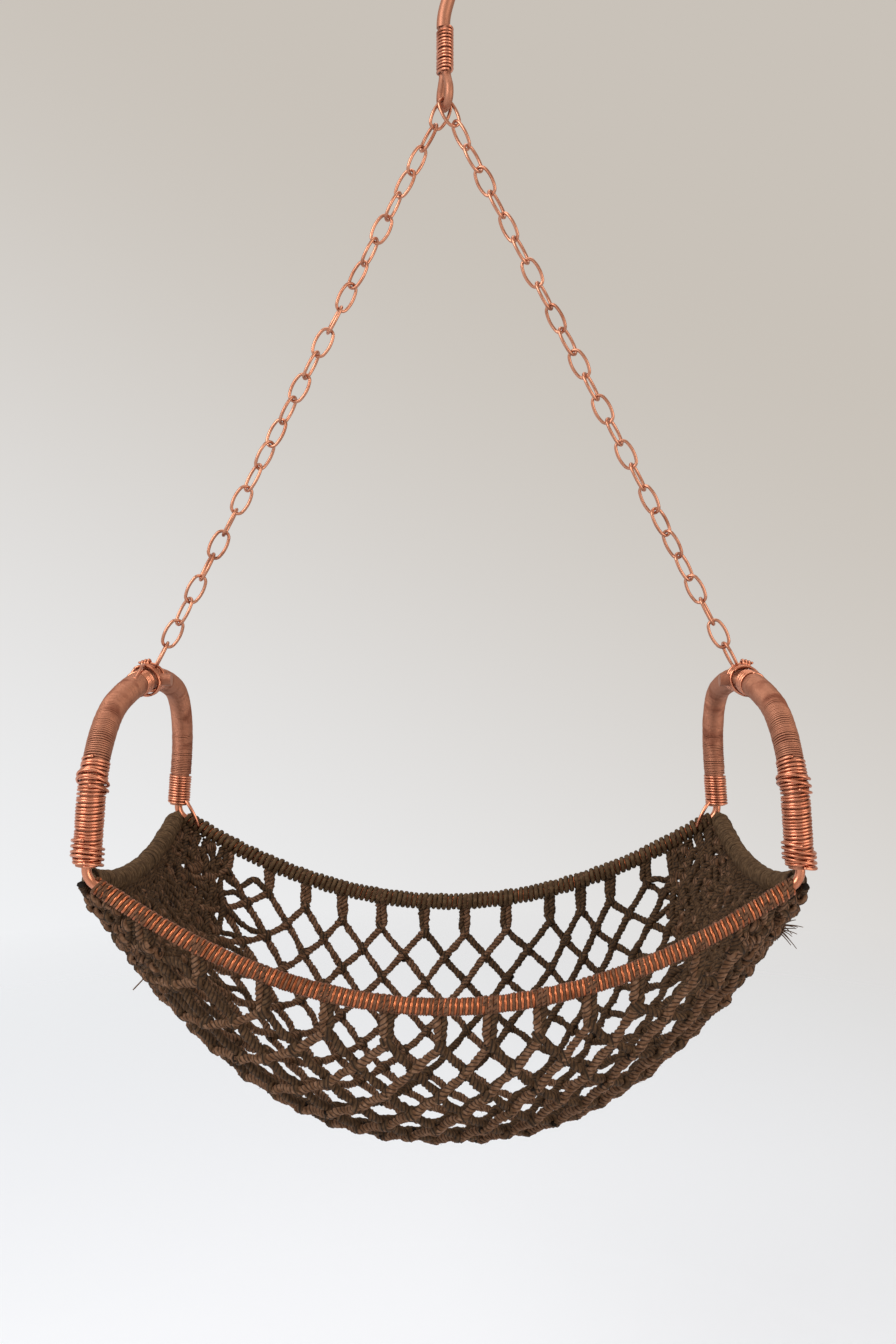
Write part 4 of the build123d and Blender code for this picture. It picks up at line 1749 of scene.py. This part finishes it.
@dataclass
class Studio:
    """A pale floor, a pale wall of light behind, soft lamps and the camera.

    The wall runs from white to grey with the height of the line of sight, tilted so that it is
    greyer to the right; the grey is painted shade. The lamps' places are in metres from the middle
    of the opening.
    """

    feet_height: float
    floor_drop: float = 520.0
    floor_radius: float = 2.4
    floor_corners: int = 96
    floor_paint: str = "#F1F4FA"
    floor_roughness: float = 0.9
    fade_from: float = 0.5
    fade_to_share: float = 0.85
    # Painted shade on the wall: it greys upwards and to the right
    wall_tilt: tuple[float, float, float] = (0.5, 0.0, 1.0)
    wall_low: float = -0.6
    wall_high: float = 0.36
    wall_white: str = "#F5F7FA"
    wall_shade_grey: str = "#C9C2B9"
    sky_tint: str = "#F4F1EC"
    sky_strength: float = 0.55
    camera_place: tuple[float, float, float] = (11.0, -821.0, 147.5)
    camera_pitch: float = math.radians(2.6)
    camera_yaw: float = math.radians(0.63)
    focal_pixels: float = 1271.0
    image_height: float = 1344.0
    sensor: float = 36.0
    clip_start: float = 0.02
    clip_end: float = 50.0

    def camera(self) -> None:
        """Sets the camera in the photograph's place."""
        data = bpy.data.cameras.new("camera")
        data.sensor_fit = "VERTICAL"
        data.sensor_height = self.sensor
        data.lens = self.focal_pixels / self.image_height * self.sensor
        data.clip_start, data.clip_end = self.clip_start, self.clip_end
        made = bpy.data.objects.new("camera", data)
        x, y, z = self.camera_place
        made.location = (x * MM, y * MM, z * MM + self.feet_height)
        made.rotation_euler = (math.pi / 2 - self.camera_pitch, 0.0, self.camera_yaw)
        bpy.context.scene.collection.objects.link(made)
        bpy.context.scene.camera = made

    def floor(self) -> None:
        """Lays a pale round floor below the basket that fades out before its edge."""
        ring = np.linspace(0, TURN, self.floor_corners + 1)[:-1]
        edge = np.stack([np.cos(ring), np.sin(ring), 0 * ring], -1) * self.floor_radius
        edge[:, 2] = self.feet_height - self.floor_drop * MM
        data = bpy.data.meshes.new("floor")
        data.from_pydata(edge.tolist(), [], [list(range(len(edge)))])
        made = bpy.data.objects.new("floor", data)
        bpy.context.scene.collection.objects.link(made)
        material, tree = started("Pale studio floor")
        place = add_node(tree, "ShaderNodeTexCoord").outputs["Object"]
        level = {0: place, 1: (1, 1, 0)}
        flat = add_node(tree, "ShaderNodeVectorMath", level, operation="MULTIPLY")
        far = add_node(tree, "ShaderNodeVectorMath", {0: flat.outputs[0]}, operation="LENGTH")
        fade_to = self.fade_to_share * self.floor_radius
        sockets = {"Value": far.outputs["Value"], "From Min": self.fade_from, "From Max": fade_to}
        fade = add_node(tree, "ShaderNodeMapRange", sockets).outputs["Result"]
        paint = {"Base Color": linear(self.floor_paint), "Roughness": self.floor_roughness}
        shader = add_node(tree, "ShaderNodeBsdfPrincipled", paint).outputs[0]
        clear = add_node(tree, "ShaderNodeBsdfTransparent").outputs[0]
        mixed = add_node(tree, "ShaderNodeMixShader", {0: fade, 1: shader, 2: clear})
        add_node(tree, "ShaderNodeOutputMaterial", {"Surface": mixed.outputs[0]})
        made.data.materials.append(material)
        made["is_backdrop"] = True

    def world(self) -> None:
        """A plain pale surround that the camera sees as a wall, with painted shade that makes it
        warm grey above and white below.
        """
        world = bpy.data.worlds.new("surround")
        bpy.context.scene.world = world
        world.use_nodes = True
        tree = world.node_tree
        tree.nodes.clear()
        way = add_node(tree, "ShaderNodeTexCoord").outputs["Generated"]
        # Painted shade: the wall greys upwards and to the right
        tilted = {0: way, 1: self.wall_tilt}
        height = add_node(tree, "ShaderNodeVectorMath", tilted, operation="DOT_PRODUCT")
        sockets = {"Value": height.outputs["Value"]}
        sockets |= {"From Min": self.wall_low, "From Max": self.wall_high}
        share = add_node(tree, "ShaderNodeMapRange", sockets, interpolation_type="SMOOTHSTEP")
        white, grey = linear(self.wall_white), linear(self.wall_shade_grey)
        wall = tone_mix(tree, share.outputs["Result"], white, grey)
        seen = add_node(tree, "ShaderNodeBackground", {"Color": wall, "Strength": 1.0})
        sockets = {"Color": linear(self.sky_tint), "Strength": self.sky_strength}
        light = add_node(tree, "ShaderNodeBackground", sockets)
        path = add_node(tree, "ShaderNodeLightPath")
        sees = path.outputs["Is Camera Ray"]
        for kind in ("Is Transmission Ray", "Is Glossy Ray"):
            rays = {0: sees, 1: path.outputs[kind]}
            sees = add_node(tree, "ShaderNodeMath", rays, operation="MAXIMUM").outputs[0]
        sockets = {0: sees, 1: light.outputs[0], 2: seen.outputs[0]}
        mixed = add_node(tree, "ShaderNodeMixShader", sockets)
        add_node(tree, "ShaderNodeOutputWorld", {"Surface": mixed.outputs[0]})

    def lamp(
        self, name: str, place: tuple[float, float, float], size: float, power: float, tint: str
    ) -> None:
        """Hangs one soft square lamp that faces the basket's middle.

        Args:
            name: The lamp's name.
            place: Where it is, in metres from the middle of the basket's opening.
            size: The length of its sides in metres.
            power: Its power in watts.
            tint: Its colour.
        """
        data = bpy.data.lights.new(name, "AREA")
        data.size, data.energy, data.color = size, power, linear(tint)[:3]
        made = bpy.data.objects.new(name, data)
        made.location = Vector(place) + Vector((0, 0, self.feet_height))
        made.rotation_euler = (-Vector(place)).to_track_quat("-Z", "Y").to_euler()
        bpy.context.scene.collection.objects.link(made)

    def build(self) -> None:
        """Sets the stage."""
        self.camera()
        self.floor()
        self.world()
        self.lamp("window", (-1.6, -1.5, 1.3), 1.4, 42.0, "#FFFFFF")
        self.lamp("fill", (1.8, -1.4, 0.5), 1.6, 24.0, "#FFF6EC")
        self.lamp("ceiling", (0.0, 0.3, 1.9), 1.6, 14.0, "#FFFFFF")
        bpy.context.scene.view_settings.view_transform = "Standard"


def corners() -> list[list[float]]:
    """The whole object's lowest and highest corner, as plain lists of numbers."""
    return [[float(value) for value in corner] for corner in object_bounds()]


def main() -> None:
    """Loads the frame, winds and knots every piece, and sets the stage."""
    logging.basicConfig(level=logging.INFO, format="%(name)s: %(message)s")
    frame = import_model()
    shape = Shape()
    rail_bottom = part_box("left_rail_rod")[0].z
    feet_height = rail_bottom + (shape.rail_sag + Rims.rail_rod / 2) * MM
    finishes = Finishes.made()
    Hanger(finishes, feet_height).build()
    for maker in (Handles, Rims, Net, LooseEnds):
        maker(shape, finishes, feet_height).build()
    KeptNodes(finishes, frame["nodes"]).build()
    Studio(feet_height).build()
    bpy.context.view_layer.update()


if __name__ == "__main__":
    main()
